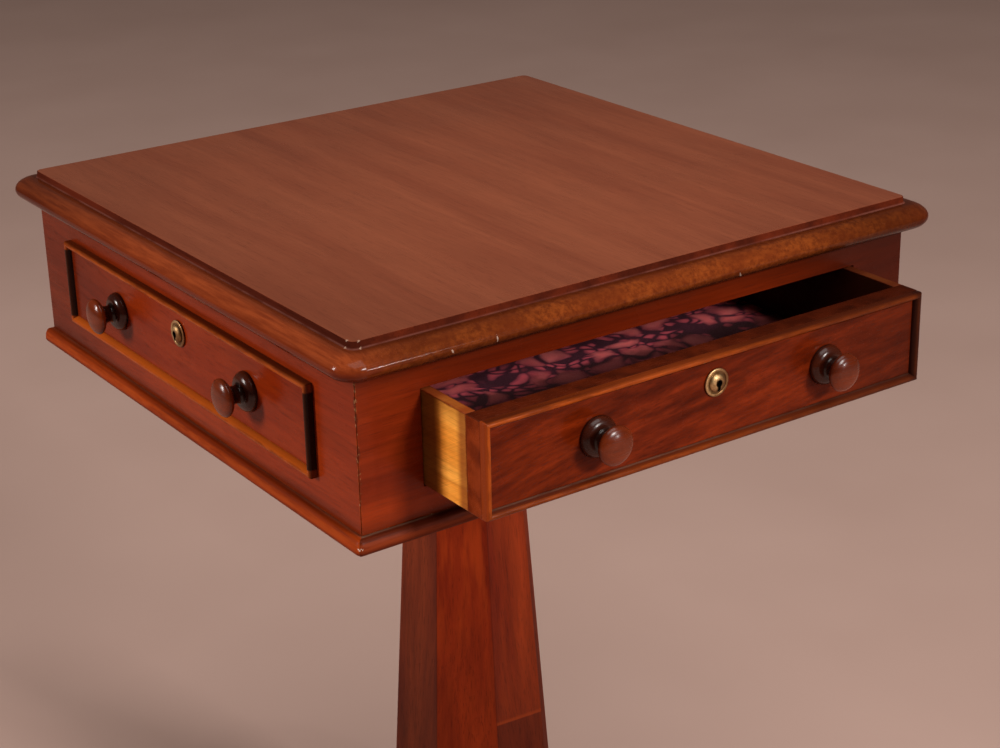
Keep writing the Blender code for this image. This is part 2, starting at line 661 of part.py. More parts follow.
def build_bearers(table, wood, steel):
    """Two bearers under the drawer, and the block that takes the column, screwed up into them."""
    half_length = FRAME_INSIDE - JOINT_GAP
    bearer_top = DRAWER_FOOT - BEARER_CLEARANCE
    block = box_mesh(
        "pedestal_block",
        (-BLOCK_SIDE / 2, -BLOCK_SIDE / 2, BLOCK_FOOT),
        (BLOCK_SIDE / 2, BLOCK_SIDE / 2, BLOCK_TOP),
    )
    block = add_piece("pedestal_block", block, wood, table)
    socket = rod_profile(COLUMN_TENON_DIAMETER + 2 * JOINT_GAP, -CUT_EXTRA, COLUMN_TENON_LENGTH + JOINT_GAP)
    cutter = add_cutter("block_socket", turned_mesh("block_socket", socket), table, (0.0, 0.0, BLOCK_FOOT))
    combine(block, cutter)
    length = BLOCK_THICKNESS + JOINT_GAP + SCREW_BITE
    screw = turned_mesh("block_screw", screw_profile(0.0, length), SCREW_SIDES)
    screw_row = BLOCK_SIDE / 2 - SCREW_INSET
    for side, sign in (("left", -1), ("right", 1)):
        middle = sign * BEARER_SPACING / 2
        name = side + "_bearer"
        low = (middle - BEARER_WIDTH / 2, -half_length, FRAME_FOOT)
        high = (middle + BEARER_WIDTH / 2, half_length, bearer_top)
        bearer = add_piece(name, box_mesh(name, low, high), wood, table)
        for row, row_sign in (("front", -1), ("rear", 1)):
            place = (middle, row_sign * screw_row, BLOCK_FOOT)
            name = f"{row}_{side}_block_screw"
            add_piece(name, screw, steel, table, place)
            hole = turned_mesh(name + "_hole", screw_profile(JOINT_GAP, length + JOINT_GAP), SCREW_SIDES)
            cutter = add_cutter(name + "_hole", hole, table, place)
            combine(block, cutter)
            combine(bearer, cutter)


def build_column(table, wood):
    """Tapered octagonal column with a round tenon at each end, turned a little in its sockets."""
    top = BLOCK_FOOT - JOINT_GAP
    foot = PLATFORM_TOP + JOINT_GAP
    shaft = loft_mesh("column", [octagon(COLUMN_BASE_ACROSS, foot), octagon(COLUMN_TOP_ACROSS, top)])
    column = add_piece("column", shaft, wood, table, rotation=(0.0, 0.0, COLUMN_TURN))
    lengths = (foot - COLUMN_TENON_LENGTH, top + COLUMN_TENON_LENGTH)
    tenon = turned_mesh("column_tenon", rod_profile(COLUMN_TENON_DIAMETER, *lengths))
    combine(column, add_cutter("column_tenon", tenon, table), "UNION")


def build_base(table, wood):
    """Platform with hollowed sides on four turned bun feet."""
    outlines = (
        (PLATFORM_CHAMFER, PLATFORM_FOOT),
        (0.0, PLATFORM_FOOT + PLATFORM_CHAMFER),
        (0.0, PLATFORM_TOP - PLATFORM_CHAMFER),
        (PLATFORM_CHAMFER, PLATFORM_TOP),
    )
    rings = [[(x, y, level) for x, y in platform_outline(inset)] for inset, level in outlines]
    platform = add_piece("platform_base", loft_mesh("platform_base", rings, smooth=True), wood, table)
    socket_foot = PLATFORM_TOP - COLUMN_TENON_LENGTH - JOINT_GAP
    socket = rod_profile(COLUMN_TENON_DIAMETER + 2 * JOINT_GAP, socket_foot, PLATFORM_TOP + CUT_EXTRA)
    combine(platform, add_cutter("platform_socket", turned_mesh("platform_socket", socket), table))
    foot = foot_mesh()
    bore = rod_profile(
        FOOT_SPIGOT_DIAMETER + 2 * JOINT_GAP, FOOT_HEIGHT, FOOT_HEIGHT + FOOT_SPIGOT_LENGTH + JOINT_GAP
    )
    reach = PLATFORM_SIDE / 2 - FOOT_INSET
    for row, sign_y in (("front", -1), ("rear", 1)):
        for side, sign_x in (("left", -1), ("right", 1)):
            place = (sign_x * reach, sign_y * reach, 0.0)
            name = f"{row}_{side}_foot"
            add_piece(name, foot, wood, table, place)
            combine(platform, add_cutter(name + "_bore", turned_mesh(name + "_bore", bore), table, place))


def build_table():
    """The whole table, centred on its bounding box."""
    clear_scene()
    top_wood = make_material("top_mahogany", (0.22, 0.065, 0.030), 0.28)
    case_wood = make_material("case_mahogany", (0.17, 0.022, 0.010), 0.30)
    bead_wood = make_material("bead_mahogany", (0.24, 0.045, 0.012), 0.28)
    knob_wood = make_material("knob_mahogany", (0.15, 0.030, 0.012), 0.25)
    pedestal_wood = make_material("pedestal_mahogany", (0.20, 0.035, 0.013), 0.30)
    inner_wood = make_material("secondary_wood", (0.30, 0.15, 0.06), 0.60)
    pine = make_material("pine", (0.60, 0.25, 0.055), 0.50)
    brass = make_material("brass", (0.50, 0.30, 0.11), 0.35, 1.0)
    steel = make_material("screw_steel", (0.25, 0.24, 0.23), 0.45, 1.0)
    paper = make_material("marbled_paper", (0.22, 0.035, 0.055), 0.80)

    table = add_empty("table", (0.0, DRAWER_OPEN / 2, 0.0))
    faces = {}
    for turn, side in enumerate(("front", "right", "rear", "left")):
        angle = math.radians(90 * turn)
        reach = FRAME_SIDE / 2
        place = (reach * math.sin(angle), -reach * math.cos(angle), DRAWER_MIDDLE)
        faces[side] = add_empty(side + "_face", place, (math.pi / 2, 0.0, angle), table)
    drawer = add_empty("drawer_slide", (0.0, 0.0, DRAWER_OPEN), parent=faces["front"])

    knob = knob_mesh()
    plate = escutcheon_mesh()
    build_top(table, top_wood)
    boards = build_frame(faces, case_wood)
    build_mouldings(table, bead_wood)
    build_runners(table, inner_wood)
    build_stop(faces, inner_wood)
    build_dummies(faces, boards, case_wood, bead_wood)
    build_drawer_front(drawer, case_wood, bead_wood)
    build_drawer_box(drawer, pine, paper)
    for owner, face in (
        ("left_dummy", faces["left"]),
        ("right_dummy", faces["right"]),
        ("rear_dummy", faces["rear"]),
        ("drawer", drawer),
    ):
        build_hardware(owner, face, knob_wood, brass, knob, plate)
    build_lock(drawer, brass)
    build_bearers(table, inner_wood, steel)
    build_column(table, pedestal_wood)
    build_base(table, pedestal_wood)


build_table()
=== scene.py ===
# %% [markdown]
# # A mahogany occasional table with one drawer
# The table has a square top, a drawer in front, a sham drawer on each other side and an
# eight-sided column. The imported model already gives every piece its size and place. This lesson
# dresses those pieces: finer shapes, eased edges and finishes that show grain, wear and polish.

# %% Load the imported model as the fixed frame
import json
import math

import bmesh
import bpy
from mathutils import Matrix, Vector

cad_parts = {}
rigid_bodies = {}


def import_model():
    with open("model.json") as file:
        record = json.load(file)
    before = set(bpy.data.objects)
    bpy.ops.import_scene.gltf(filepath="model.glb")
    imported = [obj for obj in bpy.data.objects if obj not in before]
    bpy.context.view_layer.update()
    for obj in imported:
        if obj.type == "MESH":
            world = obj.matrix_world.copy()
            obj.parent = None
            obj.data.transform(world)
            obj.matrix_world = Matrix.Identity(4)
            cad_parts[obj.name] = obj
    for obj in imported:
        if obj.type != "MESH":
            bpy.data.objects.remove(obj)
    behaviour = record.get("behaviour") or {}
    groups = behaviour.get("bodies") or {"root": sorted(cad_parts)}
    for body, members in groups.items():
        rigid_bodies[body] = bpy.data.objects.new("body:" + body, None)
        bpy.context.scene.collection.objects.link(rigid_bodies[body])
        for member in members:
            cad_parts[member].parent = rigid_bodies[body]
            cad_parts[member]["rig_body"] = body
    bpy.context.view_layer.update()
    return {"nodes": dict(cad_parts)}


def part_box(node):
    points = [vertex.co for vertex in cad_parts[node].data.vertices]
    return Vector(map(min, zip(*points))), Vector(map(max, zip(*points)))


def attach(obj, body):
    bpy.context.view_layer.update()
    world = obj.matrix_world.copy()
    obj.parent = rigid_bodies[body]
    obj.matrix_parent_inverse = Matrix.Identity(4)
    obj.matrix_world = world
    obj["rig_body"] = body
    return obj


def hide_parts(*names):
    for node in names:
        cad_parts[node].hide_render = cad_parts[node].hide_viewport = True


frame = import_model()
nodes = frame["nodes"]
CENTRE = Vector((0.0, 0.0337, 0.0))

# %% [markdown]
# ## Camera
# The table is seen from above its near left corner, with a long lens. The camera is placed by
# its own three directions, which keep the slight lean of the original picture.

# %% Camera
EYE = Vector((-0.87331, -1.28014, 1.20827))
EYE_RIGHT = Vector((0.816111, -0.577510, -0.021102))
EYE_UP = Vector((0.234425, 0.297462, 0.925506))
EYE_AHEAD = Vector((0.528212, 0.760262, -0.378145))

lens = bpy.data.cameras.new("view_camera")
lens.lens = 73.994
lens.sensor_width = 36.0
lens.clip_end = 100.0
camera = bpy.data.objects.new("view_camera", lens)
bpy.context.scene.collection.objects.link(camera)
axes = Matrix((EYE_RIGHT, EYE_UP, -EYE_AHEAD)).transposed().to_4x4()
camera.matrix_world = Matrix.Translation(EYE) @ axes
bpy.context.scene.camera = camera
print("camera", round((EYE - CENTRE).length, 2), "m from the table's foot")

# %% [markdown]
# ## A short way to write nodes
# Shader trees and geometry trees are both boxes joined by wires. This small class adds a box,
# sets its sockets and gives back the wire, so that a recipe reads from top to bottom.

# %% Node bench
def tone(red, green, blue):
    """A screen colour from 0 to 255, as the linear colour that a socket takes."""
    shares = [value / 255 for value in (red, green, blue)]
    return tuple(v / 12.92 if v <= 0.04045 else ((v + 0.055) / 1.055) ** 2.4 for v in shares) + (1.0,)


class Wire:
    """What comes out of a node. Reckoning with it adds a Math node to its tree."""

    def __init__(self, bench, socket):
        self.bench = bench
        self.socket = socket

    def __abs__(self):
        return self.bench.sum("ABSOLUTE", self)

    def __add__(self, other):
        return self.bench.sum("ADD", self, other)

    def __sub__(self, other):
        return self.bench.sum("SUBTRACT", self, other)

    def __rsub__(self, other):
        return self.bench.sum("SUBTRACT", other, self)

    def __mul__(self, other):
        return self.bench.sum("MULTIPLY", self, other)

    def __truediv__(self, other):
        return self.bench.sum("DIVIDE", self, other)


class Bench:
    """Adds nodes to one tree and joins them."""

    def __init__(self, tree):
        self.tree = tree

    def feed(self, socket, value):
        if isinstance(value, Wire):
            self.tree.links.new(value.socket, socket)
        else:
            socket.default_value = value

    def node(self, kind, feeds=None, **settings):
        made = self.tree.nodes.new(kind)
        for name, value in settings.items():
            setattr(made, name, value)
        for key, value in (feeds or {}).items():
            self.feed(made.inputs[key], value)
        return made

    def wires(self, made):
        return {socket.name: Wire(self, socket) for socket in made.outputs}

    def make(self, kind, feeds=None, out=0, **settings):
        return Wire(self, self.node(kind, feeds, **settings).outputs[out])

    def geo(self, kind, feeds=None, out=0, **settings):
        return self.make("GeometryNode" + kind, feeds, out, **settings)

    def sum(self, operation, first, second=0.0, clamp=False):
        return self.make("ShaderNodeMath", {0: first, 1: second}, operation=operation, use_clamp=clamp)

    def vector(self, operation, first, second=None):
        feeds = {0: first} if second is None else {0: first, 1: second}
        out = "Value" if operation == "LENGTH" else "Vector"
        return self.make("ShaderNodeVectorMath", feeds, out, operation=operation)

    def scaled(self, first, share):
        return self.make("ShaderNodeVectorMath", {0: first, "Scale": share}, "Vector", operation="SCALE")

    def mix(self, share, first, second):
        return self.make("ShaderNodeMix", {0: share, 6: first, 7: second}, 2, data_type="RGBA")

    def between(self, value, low, high, start=0.0, end=1.0, shape="SMOOTHSTEP"):
        feeds = {"Value": value, "From Min": low, "From Max": high, "To Min": start, "To Max": end}
        return self.make("ShaderNodeMapRange", feeds, interpolation_type=shape)

    def noise(self, at, scale, detail=2.0, roughness=0.5, output="Fac"):
        if isinstance(scale, tuple):
            at, scale = self.vector("MULTIPLY", at, scale), 1.0
        feeds = {"Vector": at, "Scale": scale, "Detail": detail, "Roughness": roughness}
        return self.make("ShaderNodeTexNoise", feeds, output)

    def split(self, at):
        return [
            Wire(self, socket) for socket in self.node("ShaderNodeSeparateXYZ", {"Vector": at}).outputs
        ]

    def join(self, **parts):
        return self.make("ShaderNodeCombineXYZ", parts)

    def bump(self, height, strength, distance):
        return self.make(
            "ShaderNodeBump", {"Height": height, "Strength": strength, "Distance": distance}
        )

    def place(self):
        return self.make("ShaderNodeTexCoord", out="Object")

    def carried(self, name):
        return self.make("ShaderNodeAttribute", out="Vector", attribute_name=name)

    def use(self, group, **values):
        feeds = {name.replace("_", " "): value for name, value in values.items()}
        made = self.node(group.bl_idname.replace("NodeTree", "NodeGroup"), node_tree=group)
        for name, value in feeds.items():
            self.feed(made.inputs[name], value)
        return self.wires(made)


def new_group(name, kind, inputs, outputs):
    """A node group with named sockets, and a bench to fill it."""
    tree = bpy.data.node_groups.new(name, kind + "NodeTree")
    for label, socket_kind, *value in inputs:
        socket = tree.interface.new_socket(label, in_out="INPUT", socket_type="NodeSocket" + socket_kind)
        if value:
            socket.default_value = value[0]
    for label, socket_kind in outputs:
        tree.interface.new_socket(label, in_out="OUTPUT", socket_type="NodeSocket" + socket_kind)
    bench = Bench(tree)
    given = bench.wires(bench.node("NodeGroupInput"))
    return tree, bench, given, bench.node("NodeGroupOutput").inputs


def new_finish(name):
    """A fresh material with its bench and the inputs of its shader."""
    material = bpy.data.materials.new(name)
    material.use_nodes = True
    return material, Bench(material.node_tree), material.node_tree.nodes["Principled BSDF"].inputs


def paint(b, shader, colour, rough, bump=None, **constants):
    """Wires up a shader; what stays the same all over is set on the socket itself."""
    b.feed(shader["Base Color"], colour)
    b.feed(shader["Roughness"], rough)
    if bump:
        b.feed(shader["Normal"], bump)
    for name, value in constants.items():
        shader[name.replace("_", " ")].default_value = value


print("node bench ready")

# %% [markdown]
# ## Floor and light
# A pale floor runs far enough to fill every view. Two soft lamps stand to the left and to the
# front, low enough to shine under the overhang of the top. A wide lamp overhead lights the top
# and reaches into the open drawer, a small one low on the right gives the polish its sparkle, and
# a dim warm world fills the shade. The lamps stay at a plain level, so that a colour renders about
# as it is written.

# %% Floor and light
view = bpy.context.scene.view_settings
view.view_transform = "Standard"

FLOOR_REACH, FLOOR_DROP = 30.0, 0.0004
floor_shape = bmesh.new()
bmesh.ops.create_grid(floor_shape, x_segments=4, y_segments=4, size=FLOOR_REACH)
floor_mesh = bpy.data.meshes.new("floor")
floor_shape.to_mesh(floor_mesh)
floor_shape.free()
floor = bpy.data.objects.new("floor", floor_mesh)
floor.location.z = -FLOOR_DROP
bpy.context.scene.collection.objects.link(floor)
floor_paint, b, shader = new_finish("pale_floor")
mottle = b.noise(b.place(), 3.0, 3.0)
pale = b.mix(mottle, tone(172, 141, 129), tone(181, 150, 138))
paint(b, shader, pale, b.between(mottle, 0.2, 0.8, 0.75, 0.9))
floor_mesh.materials.append(floor_paint)

world = bpy.data.worlds.new("studio")
bpy.context.scene.world = world
world.use_nodes = True
backdrop = world.node_tree.nodes["Background"].inputs
backdrop["Color"].default_value = (0.078, 0.062, 0.055, 1.0)
backdrop["Strength"].default_value = 1.0

LAMP_DISTANCE = 4.5
LAMPS = {
    "left_lamp": ((-0.86, 0.34, 0.34), (0.7, 1.5), 156.0),
    "front_lamp": ((0.20, -0.90, 0.43), (0.8, 0.7), 142.0),
    "high_lamp": ((0.04, -0.36, 0.93), (3.4, 3.4), 122.0),
    "low_lamp": ((0.412, -0.907, 0.089), (0.11, 0.11), 24.0),
}
TARGET = Vector((0.0, 0.0, 0.65))
for name, (toward, size, power) in LAMPS.items():
    lamp = bpy.data.lights.new(name, "AREA")
    lamp.shape = "RECTANGLE"
    lamp.size, lamp.size_y = size
    lamp.energy = power
    lamp.color = (1.0, 0.965, 0.93)
    holder = bpy.data.objects.new(name, lamp)
    holder.location = TARGET + Vector(toward).normalized() * LAMP_DISTANCE
    holder.rotation_euler = (TARGET - holder.location).to_track_quat("-Z", "Y").to_euler()
    bpy.context.scene.collection.objects.link(holder)
print("floor", FLOOR_REACH, "m each way and", len(LAMPS), "lamps at", LAMP_DISTANCE, "m")

# %% [markdown]
# ## Effects that many finishes share
# Wood grain is noise pulled long in one direction: broad figure, fine streaks and short dark
# pores. Because it is a solid pattern, a board's end shows end grain by itself. The other groups
# give rubbed edges, polish marks, small nicks and metal that has aged.

# %% Wood grain group
grain_group, b, given, result = new_group(
    "wood_grain",
    "Shader",
    [
        ("Place", "Vector"), ("Seed", "Float", 0.0), ("Figure Scale", "Float", 24.0),
        ("Waviness", "Float", 0.02),
    ],
    [("Figure", "Float"), ("Streaks", "Float"), ("Pores", "Float")],
)
shift = b.scaled((1.31, 0.77, 2.1), given["Seed"])
start = b.vector("ADD", given["Place"], shift)
wander = b.noise(start, (2.2, 8.0, 8.0), 2.0, output="Color")
wander = b.vector("MULTIPLY", b.vector("SUBTRACT", wander, (0.5, 0.5, 0.5)), (0.0, 1.0, 1.0))
bent = b.vector("ADD", start, b.scaled(wander, given["Waviness"]))
long_figure = b.scaled(b.vector("MULTIPLY", bent, (0.11, 1.0, 1.0)), given["Figure Scale"])
b.feed(result["Figure"], b.noise(long_figure, 1.0, 3.0, 0.55))
b.feed(result["Streaks"], b.noise(bent, (9.0, 240.0, 240.0), 3.0, 0.65))
pores = b.noise(bent, (55.0, 1150.0, 1150.0), 1.0)
b.feed(result["Pores"], b.between(pores, 0.56, 0.70))
print("group", grain_group.name)

# %% Rubbed edge group
rub_group, b, given, result = new_group(
    "rubbed_edge",
    "Shader",
    [("Place", "Vector"), ("Low", "Vector"), ("High", "Vector"), ("Width", "Float", 0.003)],
    [("Rub", "Float"), ("Chip", "Float"), ("Distance", "Float")],
)
inside = b.vector(
    "MINIMUM", b.vector("SUBTRACT", given["Place"], given["Low"]),
    b.vector("SUBTRACT", given["High"], given["Place"]),
)
x, y, z = b.split(inside)
least = b.sum("MINIMUM", b.sum("MINIMUM", x, y), z)
most = b.sum("MAXIMUM", b.sum("MAXIMUM", x, y), z)
edge = x + y + z - least - most
near = 1.0 - edge / given["Width"]
uneven = b.between(b.noise(given["Place"], 85.0, 4.0, 0.65), 0.25, 0.75, -0.75, 0.45)
b.feed(result["Rub"], b.between(near + uneven, 0.0, 1.0))
broken = b.between(b.noise(given["Place"], 330.0, 2.0), 0.60, 0.66)
b.feed(result["Chip"], broken * b.between(near, 0.55, 0.85))
b.feed(result["Distance"], edge)
print("group", rub_group.name)

# %% Polish, nick, turning and metal groups
polish_group, b, given, result = new_group(
    "polish_marks",
    "Shader",
    [("Place", "Vector")],
    [("Haze", "Float"), ("Scratch", "Float"), ("Ripple", "Float")],
)
cloud = b.noise(given["Place"], 11.0, 4.0, 0.6)
b.feed(result["Haze"], b.between(cloud, 0.3, 0.7))
hair = 0.0
for lean in (0.5, 1.35, 2.6):
    turned = b.make("ShaderNodeMapping", {"Vector": given["Place"], "Rotation": (0.3 * lean, 0.2, lean)})
    line = b.noise(turned, (14.0, 900.0, 900.0), 0.0)
    hair = b.sum("MAXIMUM", hair, b.between(line, 0.735, 0.80))
b.feed(result["Scratch"], hair * b.between(b.noise(given["Place"], 23.0, 2.0), 0.45, 0.65))
b.feed(result["Ripple"], b.noise(given["Place"], 38.0, 2.0))

nick_group, b, given, result = new_group(
    "nick",
    "Shader",
    [("Place", "Vector"), ("Middle", "Vector"), ("Lean", "Vector"), ("Half Size", "Vector", (1, 1, 1))],
    [("Nick", "Float")],
)
offset = b.vector("SUBTRACT", given["Place"], given["Middle"])
offset = b.make(
    "ShaderNodeVectorRotate", {"Vector": offset, "Rotation": given["Lean"]}, rotation_type="EULER_XYZ"
)
ragged = b.between(b.noise(given["Place"], 900.0, 2.0), 0.3, 0.7, 0.55, 1.45, "LINEAR")
reach = b.vector("LENGTH", b.vector("DIVIDE", offset, given["Half Size"])) * ragged
b.feed(result["Nick"], b.between(reach, 0.75, 1.0, 1.0, 0.0))

lathe_group, b, given, result = new_group(
    "lathe_lines", "Shader", [("Height", "Float", 0.0), ("Pitch", "Float", 1500.0)], [("Lines", "Float")]
)
feeds = {"W": given["Height"] * given["Pitch"], "Scale": 1.0}
b.feed(result["Lines"], b.make("ShaderNodeTexNoise", feeds, "Fac", noise_dimensions="1D"))

age_group, b, given, result = new_group(
    "metal_age",
    "Shader",
    [("Place", "Vector"), ("Scale", "Float", 300.0)],
    [("Tarnish", "Float"), ("Specks", "Float")],
)
b.feed(result["Tarnish"], b.between(b.noise(given["Place"], given["Scale"], 4.0, 0.65), 0.35, 0.70))
fine = given["Scale"] * 5.0
b.feed(result["Specks"], b.between(b.noise(given["Place"], fine, 2.0), 0.60, 0.72))
print("groups", polish_group.name, nick_group.name, lathe_group.name, age_group.name)

# %% [markdown]
# ## One recipe for every polished wood
# Old mahogany differs from board to board in colour and figure, but it is laid down in the same
# order: figure, streaks, pores, rubbed edges, then polish. So one function makes all of it, and
# each finish gives its own colours, grain direction and seed. Turned and moulded pieces carry a
# point attribute, wood_at, that follows the piece; flat boards use Object coordinates.

# %% Wood recipe
GRAIN_TURN = {"X": (0.0, 0.0, 0.0), "Y": (0.0, 0.0, -math.pi / 2), "Z": (0.0, math.pi / 2, 0.0)}


def wood(
    name, dark, pale, grain="X", seed=0.0, lean=0.0, box=None, follows=False, figure=24.0, waviness=0.02,
    spread=(0.34, 0.68), streak=0.22, pore=0.35, pore_colour=None, rub=None, rub_width=0.003,
    shine=(0.18, 0.30), gloss=0.16, coat=0.06, relief=0.12, extra=None,
):
    """A wood finish. box gives the corners for rubbed edges; extra adds what one piece alone has."""
    material, b, shader = new_finish(name)
    at = b.carried("wood_at") if follows else b.place()
    along = b.make("ShaderNodeMapping", {"Vector": at, "Rotation": GRAIN_TURN[grain]})
    if lean:
        along = b.make("ShaderNodeMapping", {"Vector": along, "Rotation": (0.0, lean, lean)})
    grain_out = b.use(grain_group, Place=along, Seed=seed, Figure_Scale=figure, Waviness=waviness)
    polish = b.use(polish_group, Place=at)
    colour = b.mix(b.between(grain_out["Figure"], *spread), dark, pale)
    lines = b.between(grain_out["Streaks"], 0.28, 0.72, 1.0 - streak, 1.0 + streak, "LINEAR")
    colour = b.scaled(colour, lines)
    deep = pore_colour or tuple(0.35 * v for v in dark[:3]) + (1.0,)
    colour = b.mix(grain_out["Pores"] * pore, colour, deep)
    rough = b.between(polish["Haze"], 0.0, 1.0, *shine)
    rough = rough + grain_out["Pores"] * 0.1
    height = grain_out["Streaks"] * 0.35 + polish["Ripple"] * 1.6
    height = height - grain_out["Pores"] * 0.5
    if box and rub:
        worn = b.use(rub_group, Place=at, Low=box[0], High=box[1], Width=rub_width)
        colour = b.mix(worn["Rub"] * 0.8, colour, rub)
        colour = b.mix(worn["Chip"] * 0.7, colour, tone(205, 165, 130))
        rough = rough + worn["Rub"] * 0.1
        height = height - worn["Chip"] * 2.0
    rough = rough + polish["Scratch"] * 0.18
    if extra:
        colour, rough, height = extra(b, at, colour, rough, height)
    bump = b.bump(height, relief, 0.0006)
    constants = {"Specular_IOR_Level": gloss, "Coat_Weight": coat, "Coat_Roughness": 0.10}
    paint(b, shader, colour, rough, bump, **constants)
    return material


print("wood recipe ready")

# %% [markdown]
# ## Making and fitting a piece
# A piece is finished when it sits at the origin with its place in its mesh, points outwards,
# rides on its body and hides the CAD node that it stands for. Boards start from a merged copy of
# their CAD node, and get the eased edges that a plane and years of hands give.

# %% Fitting helpers
made_pieces = []
JOINT_GAP, WELD, LONG = 0.0003, 1e-6, 0.004
LEVEL, CORNER, EASE_STEPS = math.radians(0.3), math.radians(38), 3


def fit(piece, slot, *stands_for, body=None):
    """Gives a finished piece its body and hides the CAD nodes that it stands for. The slot argument is
    not used.
    """
    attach(piece, body or nodes[stands_for[0]]["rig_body"])
    if stands_for:
        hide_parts(*stands_for)
    made_pieces.append(piece)
    return piece


def keep_shape(name, shape, finish, crease=35.0):
    """A bmesh made into a piece, smooth except across creases sharper than the angle."""
    if shape.calc_volume(signed=True) < 0:
        bmesh.ops.reverse_faces(shape, faces=shape.faces)
    mesh = bpy.data.meshes.new(name)
    shape.to_mesh(mesh)
    shape.free()
    mesh.shade_smooth()
    mesh.set_sharp_from_angle(angle=math.radians(crease))
    mesh.materials.append(finish)
    piece = bpy.data.objects.new(name, mesh)
    bpy.context.scene.collection.objects.link(piece)
    return piece


def bake(piece, modifier):
    """Turns a modifier's result into the piece's own plain mesh."""
    graph = bpy.context.evaluated_depsgraph_get()
    shown = piece.evaluated_get(graph)
    mesh = bpy.data.meshes.new_from_object(shown, preserve_all_data_layers=True, depsgraph=graph)
    piece.modifiers.remove(modifier)
    piece.data = mesh
    return mesh


def keep_faces_flat(piece):
    """Broad faces keep their own normals, so that only the eased edges turn the light."""
    modifier = piece.modifiers.new("weighted", "WEIGHTED_NORMAL")
    modifier.keep_sharp = True
    modifier.weight = 100
    bake(piece, modifier)
    return piece


def eased_board(node, finish, slot, ease, joint=None):
    """A copy of a CAD node with its long edges rounded over, but tight and sharp at a joint."""
    shape = bmesh.new()
    shape.from_mesh(nodes[node].data)
    at_joint = [v for v in shape.verts if joint and abs(abs(v.co.x) - joint) < JOINT_GAP * 1.5]
    for vert in at_joint:
        vert.co.x = math.copysign(joint, vert.co.x)
    bmesh.ops.remove_doubles(shape, verts=shape.verts, dist=WELD)
    bmesh.ops.dissolve_limit(shape, angle_limit=LEVEL, verts=shape.verts, edges=shape.edges)
    long_edges = [e for e in shape.edges if e.is_manifold and e.calc_length() > LONG]
    sharp = [e for e in long_edges if e.calc_face_angle() > CORNER]
    if joint:
        sharp = [e for e in sharp if any(abs(abs(v.co.x) - joint) > 1e-5 for v in e.verts)]
    rounding = {"segments": EASE_STEPS, "profile": 0.5, "affect": "EDGES", "clamp_overlap": True}
    bmesh.ops.bevel(shape, geom=sharp, offset=ease, **rounding)
    return fit(keep_faces_flat(keep_shape(node + "_board", shape, finish)), slot, node)


def box_of(node):
    """A CAD node's corners as plain tuples."""
    low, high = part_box(node)
    return tuple(low), tuple(high)


print("fitting helpers ready")

# %% [markdown]
# ## The top
# The top is one board with a raised panel and a thumb-moulded edge. Rounded squares are drawn
# for each step of the edge's section and skinned together, which keeps the small panel corner
# and the wider corner of the nose. The grain runs front to back, so the front and rear edges are
# end grain: golden and flecked. The step round the panel has a dull dark finish of its own, which
# is dirt together with painted shade in the riser, and a pale line is painted at its foot as a
# reflection. The nose is the glossiest part of the table; it is painted darker below and towards its
# far ends as shade, and the top is painted paler in its middle as a pool of light.

# %% Top board shape
TOP_Z = 0.730
NOSE_START, NOSE_REACH, NOSE_LEVEL = 0.2528, 0.0152, -0.0155
NOSE_FOOT, NOSE_TOP = -0.0250, -0.0054
SECTION = []
for step in range(17):
    angle = math.radians(-90 + 180 * step / 16)
    rise = NOSE_LEVEL - NOSE_FOOT if angle < 0 else NOSE_TOP - NOSE_LEVEL
    SECTION.append((NOSE_START + NOSE_REACH * math.cos(angle), NOSE_LEVEL + rise * math.sin(angle)))
SECTION += [(0.2515, -0.0054), (0.2508, -0.0052), (0.2505, -0.0047)]
SECTION += [(0.2501, -0.0008), (0.24995, -0.0003), (0.2497, -0.0001), (0.2493, 0.0)]
NOSE_HALF, PANEL_HALF, PANEL_CORNER = 0.268, 0.250, 0.005
STEP_RINGS = range(17, 22)


def corner_radius(half):
    """From the small corner of the panel to the wide corner of the nose."""
    share = (half - PANEL_HALF) / (NOSE_HALF - PANEL_HALF)
    return PANEL_CORNER + max(0.0, share) * 0.013


def rounded_square(half, drop, corner_steps=10, side_steps=24):
    """Points round one level of the top, with a slight hand-worn waver."""
    radius = corner_radius(half)
    flat = half - radius
    points = []
    for quarter in range(4):
        middle = math.radians(90 * quarter)
        corner = Vector(
            (flat * (1 if quarter in (0, 3) else -1), flat * (1 if quarter in (0, 1) else -1))
        )
        for step in range(corner_steps + 1):
            angle = middle + math.radians(90) * step / corner_steps
            points.append(corner + radius * Vector((math.cos(angle), math.sin(angle))))
        nxt = Matrix.Rotation(math.radians(90 * (quarter + 1)), 2) @ Vector((half, -flat))
        last = points[-1].copy()
        points += [last.lerp(nxt, step / side_steps) for step in range(1, side_steps)]
    waver = 0.00012 if half > 0.2512 else 0.00003
    ring = []
    for point in points:
        spin = math.atan2(point.y, point.x)
        sway = math.sin(9 * spin + 1.3) + math.sin(23 * spin + 0.4) + 0.6 * math.sin(41 * spin)
        ring.append((*(point * (1 + waver * sway / half) + CENTRE.xy), TOP_Z + drop))
    return ring


shape = bmesh.new()
rings = [[shape.verts.new(p) for p in rounded_square(half, drop)] for half, drop in SECTION]
for number, (lower, upper) in enumerate(zip(rings, rings[1:])):
    for i in range(len(lower)):
        j = (i + 1) % len(lower)
        face = shape.faces.new((lower[i], lower[j], upper[j], upper[i]))
        face.material_index = 1 if number in STEP_RINGS else 2 if number < STEP_RINGS.start else 0
shape.faces.new(rings[-1])
shape.faces.new(reversed(rings[0])).material_index = 2
print("top section has", len(SECTION), "steps and each ring", len(rings[0]), "points")

